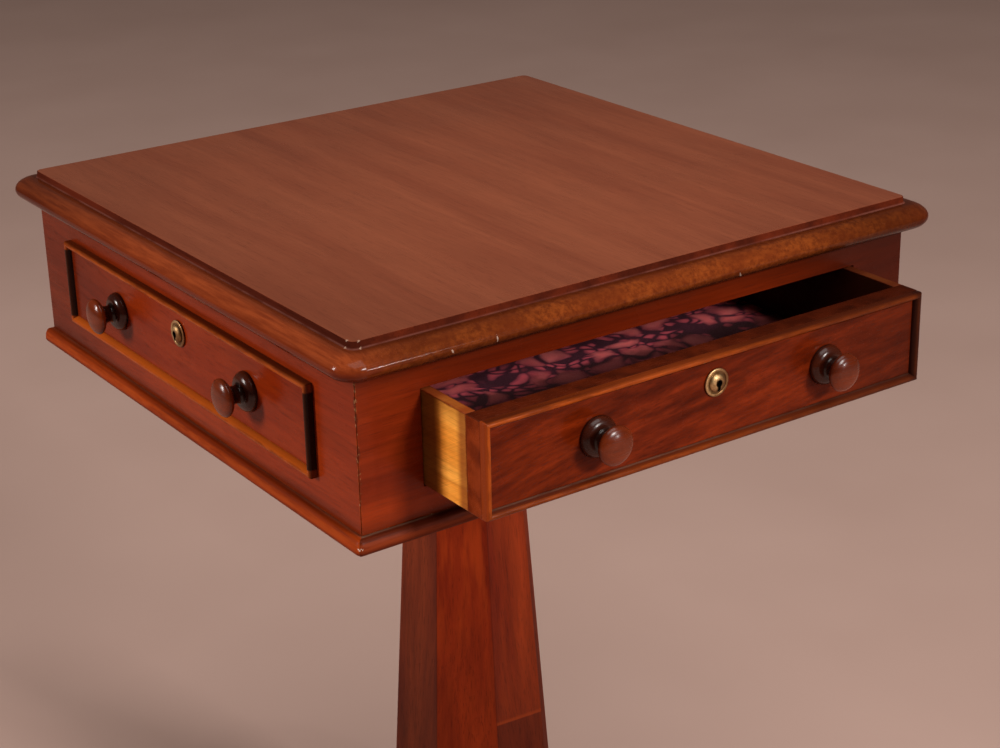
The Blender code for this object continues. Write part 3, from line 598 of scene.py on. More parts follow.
# %% Top board finish
NICKS = [
    ((0.0675, -0.2325, 0.7105), (0.0006, 0.006, 0.0030), 0.75),
    ((-0.1477, -0.2325, 0.7135), (0.0006, 0.006, 0.0022), 0.25),
    ((-0.1837, -0.2325, 0.7134), (0.0006, 0.006, 0.0017), 0.50),
]
# Chips at the near corner of the panel, which also stand for painted glints of light.
CORNER_CHIPS_AND_GLINTS = [
    (-0.2494, -0.2103, 0.7298),
    (-0.2508, -0.2101, 0.7250),
    (-0.2440, -0.2157, 0.7298),
    (-0.2437, -0.2171, 0.7250),
]


def corner_chips_and_glints(b, at, colour):
    """Pale marks at the near corner of the raised panel: chips, and painted glints of light."""
    for middle in CORNER_CHIPS_AND_GLINTS:
        mark = b.use(
            nick_group, Place=at, Middle=middle, Half_Size=(0.0011, 0.0011, 0.0007), Lean=(0.3, 0.5, 0.0)
        )["Nick"]
        colour = b.mix(mark * 0.45, colour, tone(206, 170, 146))
    return colour


def from_panel(b, x, y):
    """How far out a point lies, following the panel round its corners."""
    flat = PANEL_HALF - PANEL_CORNER
    past = [b.sum("MAXIMUM", abs(v) - flat, 0.0) for v in (x, y)]
    past = b.join(X=past[0], Y=past[1])
    return b.vector("LENGTH", past) + flat


def top_edge(b, at, colour, rough, height):
    """End grain on the front and rear edges, a nose that is darker next to the step, a few nicks, and
    painted light and shade: a paler middle, and a nose darker below and towards its far ends.
    """
    x, y, z = b.split(b.vector("SUBTRACT", at, (0.0, CENTRE.y, TOP_Z)))
    out = from_panel(b, x, y)
    # Painted light: the top is painted paler in its middle, as a pool of light.
    off_middle = b.vector("LENGTH", b.vector("SUBTRACT", at, (0.02, CENTRE.y - 0.09, TOP_Z)))
    colour = b.scaled(colour, b.between(off_middle, 0.08, 0.4, 1.07, 0.82))
    nose = b.between(out, 0.2506, 0.2516)
    end = b.between(abs(y) - abs(x), -0.012, 0.06)
    fleck = b.noise(at, (210.0, 210.0, 210.0), 4.0, 0.7)
    blotch = b.noise(at, (26.0, 26.0, 60.0), 3.0)
    gold = b.mix(b.between(fleck, 0.32, 0.68), tone(92, 38, 14), tone(138, 66, 24))
    gold = b.mix(b.between(blotch, 0.35, 0.7, 0.0, 0.8), gold, tone(96, 38, 14))
    drawn = b.noise(at, (330.0, 22.0, 330.0), 4.0, 0.65)
    ruddy = b.mix(b.between(drawn, 0.30, 0.70), tone(108, 43, 19), tone(136, 60, 28))
    # Painted shade: the side grain is darker on the lower nose and towards the rear of each side.
    ruddy = b.mix(b.between(z, -0.0175, -0.0100, 0.85, 0.0), ruddy, tone(94, 27, 7))
    ruddy = b.scaled(ruddy, b.between(y, 0.0, 0.27, 1.0, 0.47))
    gold = b.scaled(gold, b.between(x, -0.24, 0.0, 0.72, 1.0))
    edging = b.mix(end * 0.9, ruddy, gold)
    # Painted shade: the nose edging darkens towards the right.
    edging = b.scaled(edging, b.between(x, 0.06, 0.25, 1.0, 0.42))
    colour = b.mix(nose, colour, edging)
    # The nose is darker next to the step.
    dark_by_step = nose * b.between(out, 0.253, 0.2605, 0.6, 0.0)
    colour = b.mix(dark_by_step, colour, tone(60, 23, 11))
    # Painted shade on the lower part of the nose.
    low = b.between(z, -0.0235, -0.0140, 0.80, 0.0)
    colour = b.mix(low, colour, b.mix(end, tone(78, 23, 8), tone(50, 19, 9)))
    rough = rough + b.between(z, -0.024, -0.0195, 0.55, 0.0)
    for middle, half_size, lean in NICKS:
        mark = b.use(
            nick_group, Place=at, Middle=middle, Half_Size=half_size, Lean=(0.0, lean, 0.0)
        )["Nick"]
        colour = b.mix(mark * 0.5, colour, tone(220, 196, 176))
        height = height - mark * 2.5
    return corner_chips_and_glints(b, at, colour), rough, height


def step_foot_reflection(b, at, colour, rough, height):
    """A pale broken line painted along the foot of the step, as a reflection in the cove there."""
    z = b.split(at)[2]
    reflection_breakup = b.between(b.noise(at, 45.0, 3.0), 0.35, 0.65, 0.2, 0.75)
    # Painted reflection: a pale broken line at the foot of the step.
    foot = b.between(z, TOP_Z - 0.0052, TOP_Z - 0.004, 1.0, 0.0) * reflection_breakup
    return corner_chips_and_glints(b, at, b.mix(foot, colour, tone(108, 62, 52))), rough, height


TOP_WOOD = {
    "grain": "Y", "seed": 2.0, "figure": 34.0, "waviness": 0.03, "spread": (0.25, 0.75), "streak": 0.08,
    "pore": 0.22, "relief": 0.07, "extra": top_edge,
}
panel_tones = (tone(121, 60, 38), tone(135, 71, 46))
top_finish = wood("top_polish", *panel_tones, shine=(0.26, 0.38), gloss=0.30, **TOP_WOOD)
nose_finish = wood(
    "nose_polish", *panel_tones, shine=(0.09, 0.13), gloss=0.11, coat=0.0,
    **{**TOP_WOOD, "relief": 0.012},
)
# The step's dark colours are dirt together with painted shade in the riser.
step_finish = wood(
    "step_dirt", tone(62, 20, 9), tone(90, 31, 13), grain="Y", seed=2.6, figure=34.0, streak=0.12,
    shine=(0.75, 0.85), gloss=0.03, coat=0.0, relief=0.07, extra=step_foot_reflection,
)
top = keep_shape("top_board_moulded", shape, top_finish, crease=40.0)
panel_border = {key for face in top.data.polygons if len(face.vertices) > 4 for key in face.edge_keys}
for edge in top.data.edges:
    edge.use_edge_sharp = edge.use_edge_sharp or edge.key in panel_border
fit(top, "top_mahogany", "top_board")
for finish in (step_finish, nose_finish):
    top.data.materials.append(finish)
print("top board", len(top.data.polygons), "faces with", len(NICKS), "nicks")

# %% [markdown]
# ## The frieze box
# Rails, stiles and side boards are veneered, with the grain lying level all the way round. Each
# keeps its CAD shape with softened edges, except where rails meet stiles: there the joint is tight
# and one run of veneer crosses it. The near corner is chipped by passing hands, and the boards are
# darker just above the moulding. Painted shade lies under the nose, towards the right end of the
# front and towards the rear of the left side.

# %% Frieze boards
RUBBED = tone(150, 58, 20)
BOARDS = {
    "front_left_stile": ("X", 3.1, (102, 29, 7), (130, 43, 12)),
    "front_right_stile": ("X", 3.1, (102, 29, 7), (130, 43, 12)),
    "front_top_rail": ("X", 3.1, (102, 29, 7), (130, 43, 12)),
    "front_bottom_rail": ("X", 3.1, (102, 29, 7), (130, 43, 12)),
    "left_side": ("Y", 7.7, (124, 38, 9), (140, 48, 14)),
    "right_side": ("Y", 8.3, (118, 35, 10), (135, 45, 15)),
    "rear_apron": ("X", 9.5, (116, 34, 10), (133, 44, 15)),
}
corner_low, corner_high = box_of("left_side")[0], box_of("right_side")[1]
FRONT_FACE, RAIL_END = box_of("front_left_stile")[0][1], -box_of("front_left_stile")[1][0]
MOULDING_TOP = box_of("front_bottom_moulding")[1][2]


def painted_rear_shade(b, at, colour, rough, height):
    """The left side is painted darker towards the rear, as shade where the light falls off."""
    return b.scaled(colour, b.between(b.split(at)[1], 0.05, 0.27, 1.0, 0.55)), rough, height


def frieze_wear_and_shade(painted_shading, dulled):
    """Darker above the moulding, a chipped near corner, and painted shade under the nose and towards the
    right or the rear.
    """

    def wear(b, at, colour, rough, height):
        x, y, z = b.split(at)
        # The boards are darker just above the moulding.
        colour = b.mix(
            b.between(z, MOULDING_TOP, MOULDING_TOP + 0.012, 0.5, 0.0), colour, tone(62, 21, 10)
        )
        sideways = abs(x - corner_low[0])
        off_corner = sideways + abs(y - FRONT_FACE)
        ragged = b.noise(at, (240.0, 240.0, 120.0), 3.0, 0.65)
        torn = b.between(
            off_corner + b.between(ragged, 0.3, 0.7, -0.0014, 0.0016), 0.0004, 0.0016, 1.0, 0.0
        )
        torn = torn * b.between(z, 0.6, 0.675, 0.15, 1.0)
        colour = b.mix(torn * 0.6, colour, tone(48, 20, 11))
        fleck = b.between(b.noise(at, 420.0, 2.0), 0.56, 0.64, 0.0, 0.75)
        colour = b.mix(torn * fleck, colour, tone(178, 128, 84))
        # Painted shade: darker towards the right end of the front, and under the nose.
        colour = b.mix(b.between(x, 0.06, 0.225, 0.0, painted_shading), colour, tone(40, 11, 5))
        colour = b.mix(b.between(z, 0.688, 0.704, 0.0, 0.5), colour, tone(46, 15, 8))
        return painted_rear_shade(b, at, colour, rough, height) if dulled else (colour, rough, height)

    return wear


for node, (grain, seed, dark, pale) in BOARDS.items():
    if node.startswith("front"):
        low, high = box_of(node)
        reach = (
            (corner_low[0], low[1], corner_low[2]), (corner_high[0], high[1] + 0.05, corner_high[2])
        )
    else:
        reach = box_of(node)
    finish = wood(
        node + "_veneer", tone(*dark), tone(*pale), grain=grain, seed=seed, box=reach, figure=20.0,
        streak=0.20, pore=0.30, rub=RUBBED, rub_width=0.0016, gloss=0.08, coat=0.03, relief=0.07,
        extra=frieze_wear_and_shade(0.75 if node.startswith("front") else 0.0, node == "left_side"),
    )
    eased_board(
        node, finish, "case_mahogany", 0.0007, joint=RAIL_END if node.startswith("front") else None
    )
print("frieze boards", len(BOARDS))

# %% [markdown]
# ## Sham drawers and the drawer front
# The panels are cut from livelier wood, with streaks that climb a little across the board. The
# real drawer's front is the darkest piece on the table. It is painted darker towards the right, and
# the left sham front darker towards its rear, as shade.

# %% Panels
PANELS = {
    "left_dummy_front": ("Y", 11.0, (116, 33, 7), (134, 44, 11), 0.04, 0.14),
    "right_dummy_front": ("Y", 12.4, (110, 30, 8), (132, 43, 14), 0.05, 0.18),
    "rear_dummy_front": ("X", 13.7, (108, 29, 8), (130, 42, 14), 0.05, 0.18),
    "drawer_front": ("X", 15.2, (76, 19, 3), (114, 36, 8), 0.14, 0.36),
}


def dark_edges_and_right_shade(b, at, colour, rough, height):
    """The drawer front's top edge and right end are dark, its left end is a lighter brown, and the board
    is painted darker towards the right as shade.
    """
    x, _, z = b.split(at)
    ends = b.sum("MAXIMUM", b.between(z, 0.6828, 0.6835), b.between(x, 0.1962, 0.1968))
    patch = b.between(b.noise(at, 60.0, 3.0), 0.35, 0.65)
    edge_dark = b.mix(patch, tone(54, 18, 8), tone(78, 27, 11))
    # Painted shade: the drawer front darkens towards the right.
    edge_dark = b.scaled(edge_dark, b.between(x, -0.02, 0.17, 1.0, 0.62))
    colour = b.mix(b.between(x, 0.02, 0.20, 0.0, 0.45), colour, tone(44, 13, 5))
    colour = b.mix(
        b.between(x, -0.1962, -0.1968), colour, b.mix(patch, tone(98, 34, 12), tone(132, 52, 20))
    )
    return b.mix(ends * 0.9, colour, edge_dark), rough, height


PANEL_WEAR_AND_SHADE = {"drawer_front": dark_edges_and_right_shade, "left_dummy_front": painted_rear_shade}
for node, (grain, seed, dark, pale, lean, streak) in PANELS.items():
    finish = wood(
        node + "_figure", tone(*dark), tone(*pale), grain=grain, seed=seed, lean=lean, box=box_of(node),
        figure=64.0, waviness=0.035, spread=(0.30, 0.72), streak=streak, pore=0.40,
        rub=tone(112, 40, 13), rub_width=0.0012, gloss=0.07, coat=0.03, relief=0.07,
        extra=PANEL_WEAR_AND_SHADE.get(node),
    )
    eased_board(node, finish, "case_mahogany", 0.0004)
print("panels", len(PANELS))

# %% [markdown]
# ## Mouldings that follow a path
# Beads and the bottom moulding are the same idea: a section drawn once, pushed along a straight
# line, with each end cut back by how far in a point lies, which is a mitre. Geometry Nodes sweeps
# the section, cuts the mitres and rounds the outer corner; a touch of seeded noise keeps the long
# edges hand-made. The stations crowd towards the ends, where the corner turns.

# %% Geometry helpers
MM = 0.001
section_holders = []


def section_curve(name, points, closed):
    """A flat curve object that holds a section for a tree to sweep."""
    data = bpy.data.curves.new(name, "CURVE")
    data.dimensions = "3D"
    spline = data.splines.new("POLY")
    spline.points.add(len(points) - 1)
    for point, (u, v) in zip(spline.points, points):
        point.co = (u, v, 0.0, 1.0)
    spline.use_cyclic_u = closed
    holder = bpy.data.objects.new(name, data)
    bpy.context.scene.collection.objects.link(holder)
    section_holders.append(holder)
    return holder


def turned_section(name, points):
    """Radii and heights in millimetres as the half section of a turned piece."""
    return section_curve(name, [(radius * MM, -height * MM) for radius, height in points], False)


def arc(middle, radii, first, last, steps):
    """Points along part of an ellipse, angles in degrees."""
    angles = [math.radians(first + (last - first) * i / steps) for i in range(steps + 1)]
    return [(middle[0] + radii[0] * math.cos(a), middle[1] + radii[1] * math.sin(a)) for a in angles]


def grown(name, tree, crease=35.0, **values):
    """Runs a tree and keeps its result as a plain mesh on an object at the origin."""
    holder = bpy.data.objects.new(name, bpy.data.meshes.new(name))
    bpy.context.scene.collection.objects.link(holder)
    modifier = holder.modifiers.new("tree", "NODES")
    modifier.node_group = tree
    for item in tree.interface.items_tree:
        key = item.name.replace(" ", "_")
        if item.in_out == "INPUT" and key in values:
            modifier[item.identifier] = values[key]
    mesh = bake(holder, modifier)
    shape = bmesh.new()
    shape.from_mesh(mesh)
    if shape.calc_volume(signed=True) < 0:
        bmesh.ops.reverse_faces(shape, faces=shape.faces)
    shape.to_mesh(mesh)
    shape.free()
    mesh.shade_smooth()
    mesh.set_sharp_from_angle(angle=math.radians(crease))
    return holder


def facing(outward, inward):
    """Turn that lays a strip's height along outward and its inset along inward."""
    height, inset = Vector(outward), Vector(inward)
    return tuple(Matrix((inset.cross(height), inset, height)).transposed().to_euler())


def remember(b, mesh, **places):
    """Keeps places on the points of a mesh, by name, for the finishes to read."""
    for name, value in places.items():
        feeds = {"Geometry": mesh, "Name": name, "Value": value}
        mesh = b.geo("StoreNamedAttribute", feeds, data_type="FLOAT_VECTOR", domain="POINT")
    return mesh


def as_turn(b, euler):
    """A vector of angles as a rotation."""
    return b.make("FunctionNodeEulerToRotation", {"Euler": euler})


PLACED = [("Place", "Vector"), ("Turn", "Vector"), ("Material", "Material")]


def piece_tree(name, inputs):
    """A tree that grows one piece, and takes its place, turn and material."""
    return new_group(name, "Geometry", inputs + PLACED, [("Piece", "Geometry")])


def finish_tree(b, given, result, mesh):
    """Most trees end the same way: one instance at its place, realized, with its material."""
    spot = b.geo("Points", {"Count": 1, "Position": given["Place"]})
    feeds = {"Points": spot, "Instance": mesh, "Rotation": as_turn(b, given["Turn"])}
    solid = b.geo("RealizeInstances", {"Geometry": b.geo("InstanceOnPoints", feeds)})
    b.feed(result["Piece"], b.geo("SetMaterial", {"Geometry": solid, "Material": given["Material"]}))


print("geometry helpers ready")

# %% Mitred strip tree
strip_core, b, given, result = new_group(
    "mitred_strip_shape",
    "Geometry",
    [("Section", "Object"), ("Length", "Float", 0.4), ("Waver", "Float", 0.0001), ("Seed", "Float", 0.0),
     ("Corner", "Float", 0.0)],
    [("Strip", "Geometry")],
)
drawn = b.geo("ObjectInfo", {"Object": given["Section"]}, out="Geometry")
line = b.geo("CurvePrimitiveLine", {"Start": (-0.5, 0.0, 0.0), "End": (0.5, 0.0, 0.0)})
line = b.geo("ResampleCurve", {"Curve": line, "Count": 61})
strip = b.geo("CurveToMesh", {"Curve": line, "Profile Curve": drawn, "Fill Caps": True})
share, inset, height = b.split(b.geo("InputPosition"))
reach = given["Length"] - inset * 2.0
crowded = b.sum("SINE", share * math.pi) * 0.5
along = crowded * reach
half = given["Length"] * 0.5
from_end = half - abs(along)
radius = b.sum("MAXIMUM", given["Corner"] - inset, 0.0)
turned = b.sum("DIVIDE", from_end - inset, b.sum("MAXIMUM", radius, 1e-07), clamp=True)
bend = (1.0 - turned) * (math.pi / 4)
from_end = (
    b.sum("MAXIMUM", from_end - given["Corner"], 0.0)
    + (given["Corner"] - radius * b.sum("SINE", bend))
)
inset = b.sum("MAXIMUM", inset, given["Corner"] - radius * b.sum("COSINE", bend))
along = b.sum("SIGN", along) * (half - from_end)
mitred = b.join(X=along, Y=inset, Z=height)
shifted = b.vector("ADD", mitred, b.scaled((0.73, 0.19, 0.41), given["Seed"]))
sway = b.vector("SUBTRACT", b.noise(shifted, (16.0, 60.0, 60.0), 2.0, output="Color"), (0.5, 0.5, 0.5))
sway = b.vector("MULTIPLY", b.scaled(sway, given["Waver"]), (0.0, 1.0, 1.0))
strip = b.geo("SetPosition", {"Geometry": strip, "Position": b.vector("ADD", mitred, sway)})
placed = b.geo("InputPosition")
wood_place = b.vector("ADD", placed, b.scaled((0.73, 0.19, 0.41), given["Seed"]))
b.feed(result["Strip"], remember(b, strip, wood_at=wood_place, section_at=placed))

STRIP = [
    ("Section", "Object"), ("Waver", "Float", 0.0001), ("Seed", "Float", 0.0), ("Corner", "Float", 0.0)
]
strip_tree, b, given, result = piece_tree("mitred_strip", STRIP + [("Length", "Float", 0.4)])
shared = {name: given[name] for name in ("Section", "Waver", "Corner")}
strip = b.use(strip_core, Length=given["Length"], Seed=given["Seed"], **shared)["Strip"]
finish_tree(b, given, result, strip)

FRAME = STRIP + [("Width", "Float", 0.4), ("Height", "Float", 0.07)]
frame_tree, b, given, result = piece_tree("mitred_frame", FRAME)
shared = {name: given[name] for name in ("Section", "Waver", "Corner")}
joined = b.node("GeometryNodeJoinGeometry")
for side in range(4):
    size = given["Width" if side % 2 == 0 else "Height"]
    drop = given["Height" if side % 2 == 0 else "Width"] * 0.5
    seed = given["Seed"] + 1.7 * side
    bar = b.use(strip_core, Length=size - 0.0002, Seed=seed, **shared)["Strip"]
    down = b.join(Y=drop * -1.0)
    bar = b.geo("Transform", {"Geometry": bar, "Translation": down})
    bar = b.geo("Transform", {"Geometry": bar, "Rotation": (0.0, 0.0, side * math.pi / 2)})
    b.feed(joined.inputs[0], bar)
finish_tree(b, given, result, Wire(b, joined.outputs[0]))
print("trees", strip_tree.name, frame_tree.name)

# %% [markdown]
# ## Beads
# A small bead frames each panel. Its round top is rubbed to bright orange wood, and a dark line
# where it meets the panel is gathered polish together with painted shade in that corner. The
# attribute section_at says how far in and how high each point of the bead lies, so both effects
# follow the strip round. Painted shade also darkens the outer sides, the bottom bead and the right
# end, and slopes that face up are painted lighter as lit. On the sham drawers the upright beads
# are painted black as shade and only the level ones show rubbed wood; dust lies on the drawer.

# %% Beads
MIDDLE_Z = 0.64865
FACE_WIDTH, SHAM_WIDTH, FACE_HEIGHT = 0.3945, 0.3885, 0.0703


def bead_wear_and_shade(upright_shade, slope_light, dust_share, painted_shading, foot_dark):
    """Rubbed crown, dust on slopes that face up, and painted light and shade: lit up-facing slopes, dark
    outer sides, a dark line at the panel, black uprights, and darker to the right and bottom.
    """

    def wear(b, at, colour, rough, height):
        _, inset, rise = b.split(b.carried("section_at"))
        x, _, z = b.split(b.place())
        off_middle = abs(z - MIDDLE_Z)
        level = b.between(off_middle, FACE_HEIGHT / 2 - 0.0075, FACE_HEIGHT / 2 - 0.0055)
        uneven = b.noise(at, (55.0, 300.0, 300.0), 4.0, 0.6)
        rubbed = b.between(rise, 0.0048, 0.0062) * b.between(uneven, 0.35, 0.65, 0.3, 0.85)
        colour = b.mix(rubbed, colour, tone(166, 74, 20))
        # Dark line where the bead meets the panel: gathered polish and painted shade in that corner,
        # growing towards the right.
        inner = b.between(inset, 0.0046, 0.0058)
        colour = b.mix(
            inner * b.between(x, 0.12, 0.19, foot_dark, foot_dark + 0.45 * painted_shading), colour,
            tone(36, 14, 8),
        )
        # Painted light: slopes that face up are painted lighter, as lit.
        upward = b.split(b.make("ShaderNodeNewGeometry", out="Normal"))[2]
        slope = b.between(inset, 0.0034, 0.0044) * b.between(upward, 0.25, 0.5)
        colour = b.mix(slope * slope_light, colour, tone(176, 80, 20))
        # Painted shade: the bottom bead is darker.
        bottom = b.between(z, MIDDLE_Z - 0.0265, MIDDLE_Z - 0.0295, 0.0, 0.45 * painted_shading)
        colour = b.mix(bottom, colour, tone(62, 22, 11))
        lying = b.between(inset, 0.0053, 0.0058) * b.between(upward, 0.25, 0.5)
        lying = lying * b.between(uneven, 0.3, 0.6, 0.3, 0.9)
        colour = b.mix(lying * dust_share, colour, tone(118, 82, 66))
        # Painted shade: dark outer sides, black sham uprights, and darker towards the right end.
        outer_side_shade = b.between(inset, 0.0008, 0.0020, 0.35, 0.0)
        colour = b.mix(outer_side_shade, colour, tone(36, 13, 6))
        colour = b.mix(b.between(level, 0.0, 1.0, upright_shade, 0.0), colour, tone(22, 8, 4))
        colour = b.mix(b.between(x, -0.10, 0.16, 0.0, 0.72 * painted_shading), colour, tone(50, 17, 8))
        colour = b.mix(b.between(x, 0.186, 0.194, 0.0, 0.7 * painted_shading), colour, tone(34, 12, 7))
        colour = b.mix(b.between(x, -0.1952, -0.1966, 0.0, 0.75 * painted_shading), colour, tone(140, 55, 18))
        return colour, rough + inner * 0.2, height

    return wear


BEADING = {
    "seed": 21.0, "follows": True, "figure": 30.0, "streak": 0.25, "pore": 0.30, "gloss": 0.08,
    "coat": 0.0, "relief": 0.08,
}
bead_finish = wood(
    "bead_polish", tone(84, 29, 8), tone(128, 52, 15), extra=bead_wear_and_shade(0.0, 0.0, 0.6, 1.0, 0.5),
    **BEADING,
)
sham_bead_finish = wood(
    "sham_bead_polish", tone(96, 34, 8), tone(142, 60, 18), extra=bead_wear_and_shade(0.92, 0.75, 0.0, 0.0, 0.1),
    **BEADING,
)
FACES = {
    "front": (Vector((0.0, -1.0, 0.0)), Vector((0.0, -0.2850, MIDDLE_Z))),
    "left": (Vector((-1.0, 0.0, 0.0)), Vector((-0.2513, CENTRE.y, MIDDLE_Z))),
    "right": (Vector((1.0, 0.0, 0.0)), Vector((0.2513, CENTRE.y, MIDDLE_Z))),
    "rear": (Vector((0.0, 1.0, 0.0)), Vector((0.0, 0.2850, MIDDLE_Z))),
}
PANEL_PROUD = 0.0023
UP = Vector((0.0, 0.0, 1.0))


def bead_section(base):
    """Upright outside, rounded over, sloping in to the panel; turned for the sweep."""
    points = [(0.0, base)] + arc((0.0025, 0.0040), (0.0025, 0.0025), 180, 50, 10)
    points += [(0.0060, PANEL_PROUD), (0.0060, base)]
    return [(-inset, -height) for inset, height in points]


drawer_section = section_curve("drawer_bead_section", bead_section(0.0), True)
sham_section = section_curve("sham_bead_section", bead_section(0.0003), True)
bead_base = Vector((0.0, -0.2827, 0.0))
DRAWER_BEADS = {
    "drawer_top_bead": (FACE_WIDTH, (0.0, 0.0, FACE_HEIGHT / 2), (0.0, 0.0, -1.0)),
    "drawer_bottom_bead": (FACE_WIDTH, (0.0, 0.0, -FACE_HEIGHT / 2), (0.0, 0.0, 1.0)),
    "drawer_left_bead": (FACE_HEIGHT, (-FACE_WIDTH / 2, 0.0, 0.0), (1.0, 0.0, 0.0)),
    "drawer_right_bead": (FACE_HEIGHT, (FACE_WIDTH / 2, 0.0, 0.0), (-1.0, 0.0, 0.0)),
}
for number, (node, (length, edge, inward)) in enumerate(DRAWER_BEADS.items()):
    place = bead_base + Vector((0.0, 0.0, MIDDLE_Z)) + Vector(edge)
    strip = grown(
        node + "_strip", strip_tree, Section=drawer_section, Length=length - 0.0001, Waver=0.00022,
        Corner=0.0008, Seed=1.0 + number, Place=tuple(place), Turn=facing((0.0, -1.0, 0.0), inward),
        Material=bead_finish,
    )
    fit(strip, "bead_mahogany", node)
for number, side in enumerate(("left", "right", "rear")):
    outward, panel = FACES[side]
    beads = grown(
        side + "_sham_bead", frame_tree, Section=sham_section, Width=SHAM_WIDTH, Height=FACE_HEIGHT,
        Waver=0.00022, Corner=0.0008, Seed=6.0 + number, Place=tuple(panel - outward * PANEL_PROUD),
        Turn=facing(outward, UP), Material=sham_bead_finish,
    )
    fit(beads, "bead_mahogany", side + "_dummy_bead")
print("beads", len(DRAWER_BEADS), "strips and 3 frames")

# %% [markdown]
# ## Bottom moulding
# A quarter-round moulding is planted under the frieze on all four sides, mitred at the corners.
# Its lip is painted orange, as rubbed wood and as a highlight, with painted shade above and
# below, and its top holds a line of dust. The front run is painted darker as the shade of the
# open drawer, and the near corner has chips that also stand for painted glints of light.

# %% Bottom moulding
LIP_CHIPS_AND_GLINTS = [
    (-0.2551, -0.2202, 0.5846), (-0.2546, -0.2211, 0.5838), (-0.2537, -0.2217, 0.5848),
    (-0.2528, -0.2221, 0.5841),
]


def lip_wear_and_shade(crest_rub_and_light, top_shade, dust_share):
    """A lip painted as rubbed and lit between painted shade above and below, a line of dust at the top,
    and a chipped near corner with painted glints.
    """

    def wear(b, at, colour, rough, height):
        lies = b.carried("section_at")
        _, inset, rise = b.split(lies)
        uneven = b.noise(at, (40.0, 260.0, 260.0), 4.0, 0.6)
        # The crest is painted orange: rubbed wood and a painted highlight.
        crest = b.between(rise, -0.0012, -0.0034) * b.between(rise, -0.0088, -0.006)
        colour = b.mix(crest * b.between(uneven, 0.35, 0.65, 0.1, 0.6), colour, crest_rub_and_light)
        # Painted shade in the crease under the frieze and on the lower part of the lip.
        colour = b.mix(b.between(rise, -0.0034, -0.0012, 0.0, top_shade), colour, tone(60, 21, 10))
        colour = b.mix(b.between(rise, -0.0100, -0.0066, 0.55, 0.0), colour, tone(70, 24, 11))
        dust = b.between(inset, 0.005, 0.0062) * b.between(uneven, 0.3, 0.6, 0.2, 0.7)
        colour = b.mix(dust * dust_share, colour, tone(112, 82, 66))
        place = b.place()
        # Pale chips at the near corner, which also paint glints of light.
        for middle in LIP_CHIPS_AND_GLINTS:
            mark = b.use(
                nick_group, Place=place, Middle=middle, Half_Size=(0.0006, 0.0006, 0.0005),
                Lean=(0.4, 0.3, 0.0),
            )["Nick"]
            colour = b.mix(mark * 0.8, colour, tone(232, 205, 186))
        return colour, rough, height

    return wear


# The front run is painted darker than the sides, as the shade of the open drawer.
LIP_TONES_LIT_AND_SHADED = {
    "front": ((70, 23, 9), (100, 36, 14), lip_wear_and_shade(tone(132, 54, 24), 0.55, 1.0)),
    "side": ((120, 39, 8), (160, 60, 14), lip_wear_and_shade(tone(162, 68, 22), 0.22, 0.4)),
}
lip_finish = {}
for name, (dark, pale, wear) in LIP_TONES_LIT_AND_SHADED.items():
    lip_finish[name] = wood(
        name + "_lip_polish", tone(*dark), tone(*pale), seed=31.0, follows=True, figure=26.0,
        streak=0.24, pore=0.30, shine=(0.30, 0.42), gloss=0.04, coat=0.0, relief=0.08, extra=wear,
    )
lip_points = [(0.026, -0.012), (0.026, 0.0)] + arc(
    (0.004, -0.009), (0.004, 0.009), 90, 180, 12
) + [(0.0006, -0.0102), (0.003, -0.012)]
lip_section = section_curve("lip_section", [(-inset, -rise) for inset, rise in lip_points], True)
LIP_HALF, LIP_TOP = 0.256, 0.590
for turn, side in enumerate(("front", "right", "rear", "left")):
    inward = Matrix.Rotation(math.radians(90 * turn), 3, "Z") @ Vector((0.0, 1.0, 0.0))
    place = CENTRE - inward * LIP_HALF + UP * LIP_TOP
    lip = grown(
        side + "_lip", strip_tree, Section=lip_section, Length=2 * LIP_HALF - 0.0001, Waver=0.0002,
        Corner=0.0045, Seed=11.0 + turn, Place=tuple(place), Turn=facing(UP, inward),
        Material=lip_finish["front" if side == "front" else "side"],
    )
    fit(lip, "case_mahogany", side + "_bottom_moulding")
print("bottom moulding of", 2 * LIP_HALF, "m a side")

# %% [markdown]
# ## Turned pieces
# Knobs, feet and brass plates come off a lathe: a half section spun round an axis. The tree
# sweeps the section round a tiny circle, closes the poles and keeps each point's place on the
# lathe as wood_at, so that the grain belongs to the knob and not to the room.

# %% Lathe tree
TURNED = [("Section", "Object"), ("Sides", "Int", 64), ("Seed", "Float", 0.0)]
lathe_core, b, given, result = new_group("lathe_shape", "Geometry", TURNED, [("Turning", "Geometry")])
drawn = b.geo("ObjectInfo", {"Object": given["Section"]}, out="Geometry")
circle = b.geo("CurvePrimitiveCircle", {"Resolution": given["Sides"], "Radius": 5e-06})
circle = b.geo("SetCurveNormal", {"Curve": circle}, mode="Z_UP")
spun = b.geo("CurveToMesh", {"Curve": circle, "Profile Curve": drawn})
spun = b.geo("MergeByDistance", {"Geometry": spun, "Distance": 2e-05})
on_lathe = b.geo("InputPosition")
wood_place = b.vector("ADD", on_lathe, b.scaled((0.61, 0.37, 0.83), given["Seed"]))
b.feed(result["Turning"], remember(b, spun, wood_at=wood_place, section_at=on_lathe))

lathe_tree, b, given, result = piece_tree("turned_piece", TURNED)
turning = b.use(lathe_core, **{name: given[name] for name, *_ in TURNED})["Turning"]
finish_tree(b, given, result, turning)
print("tree", lathe_tree.name)

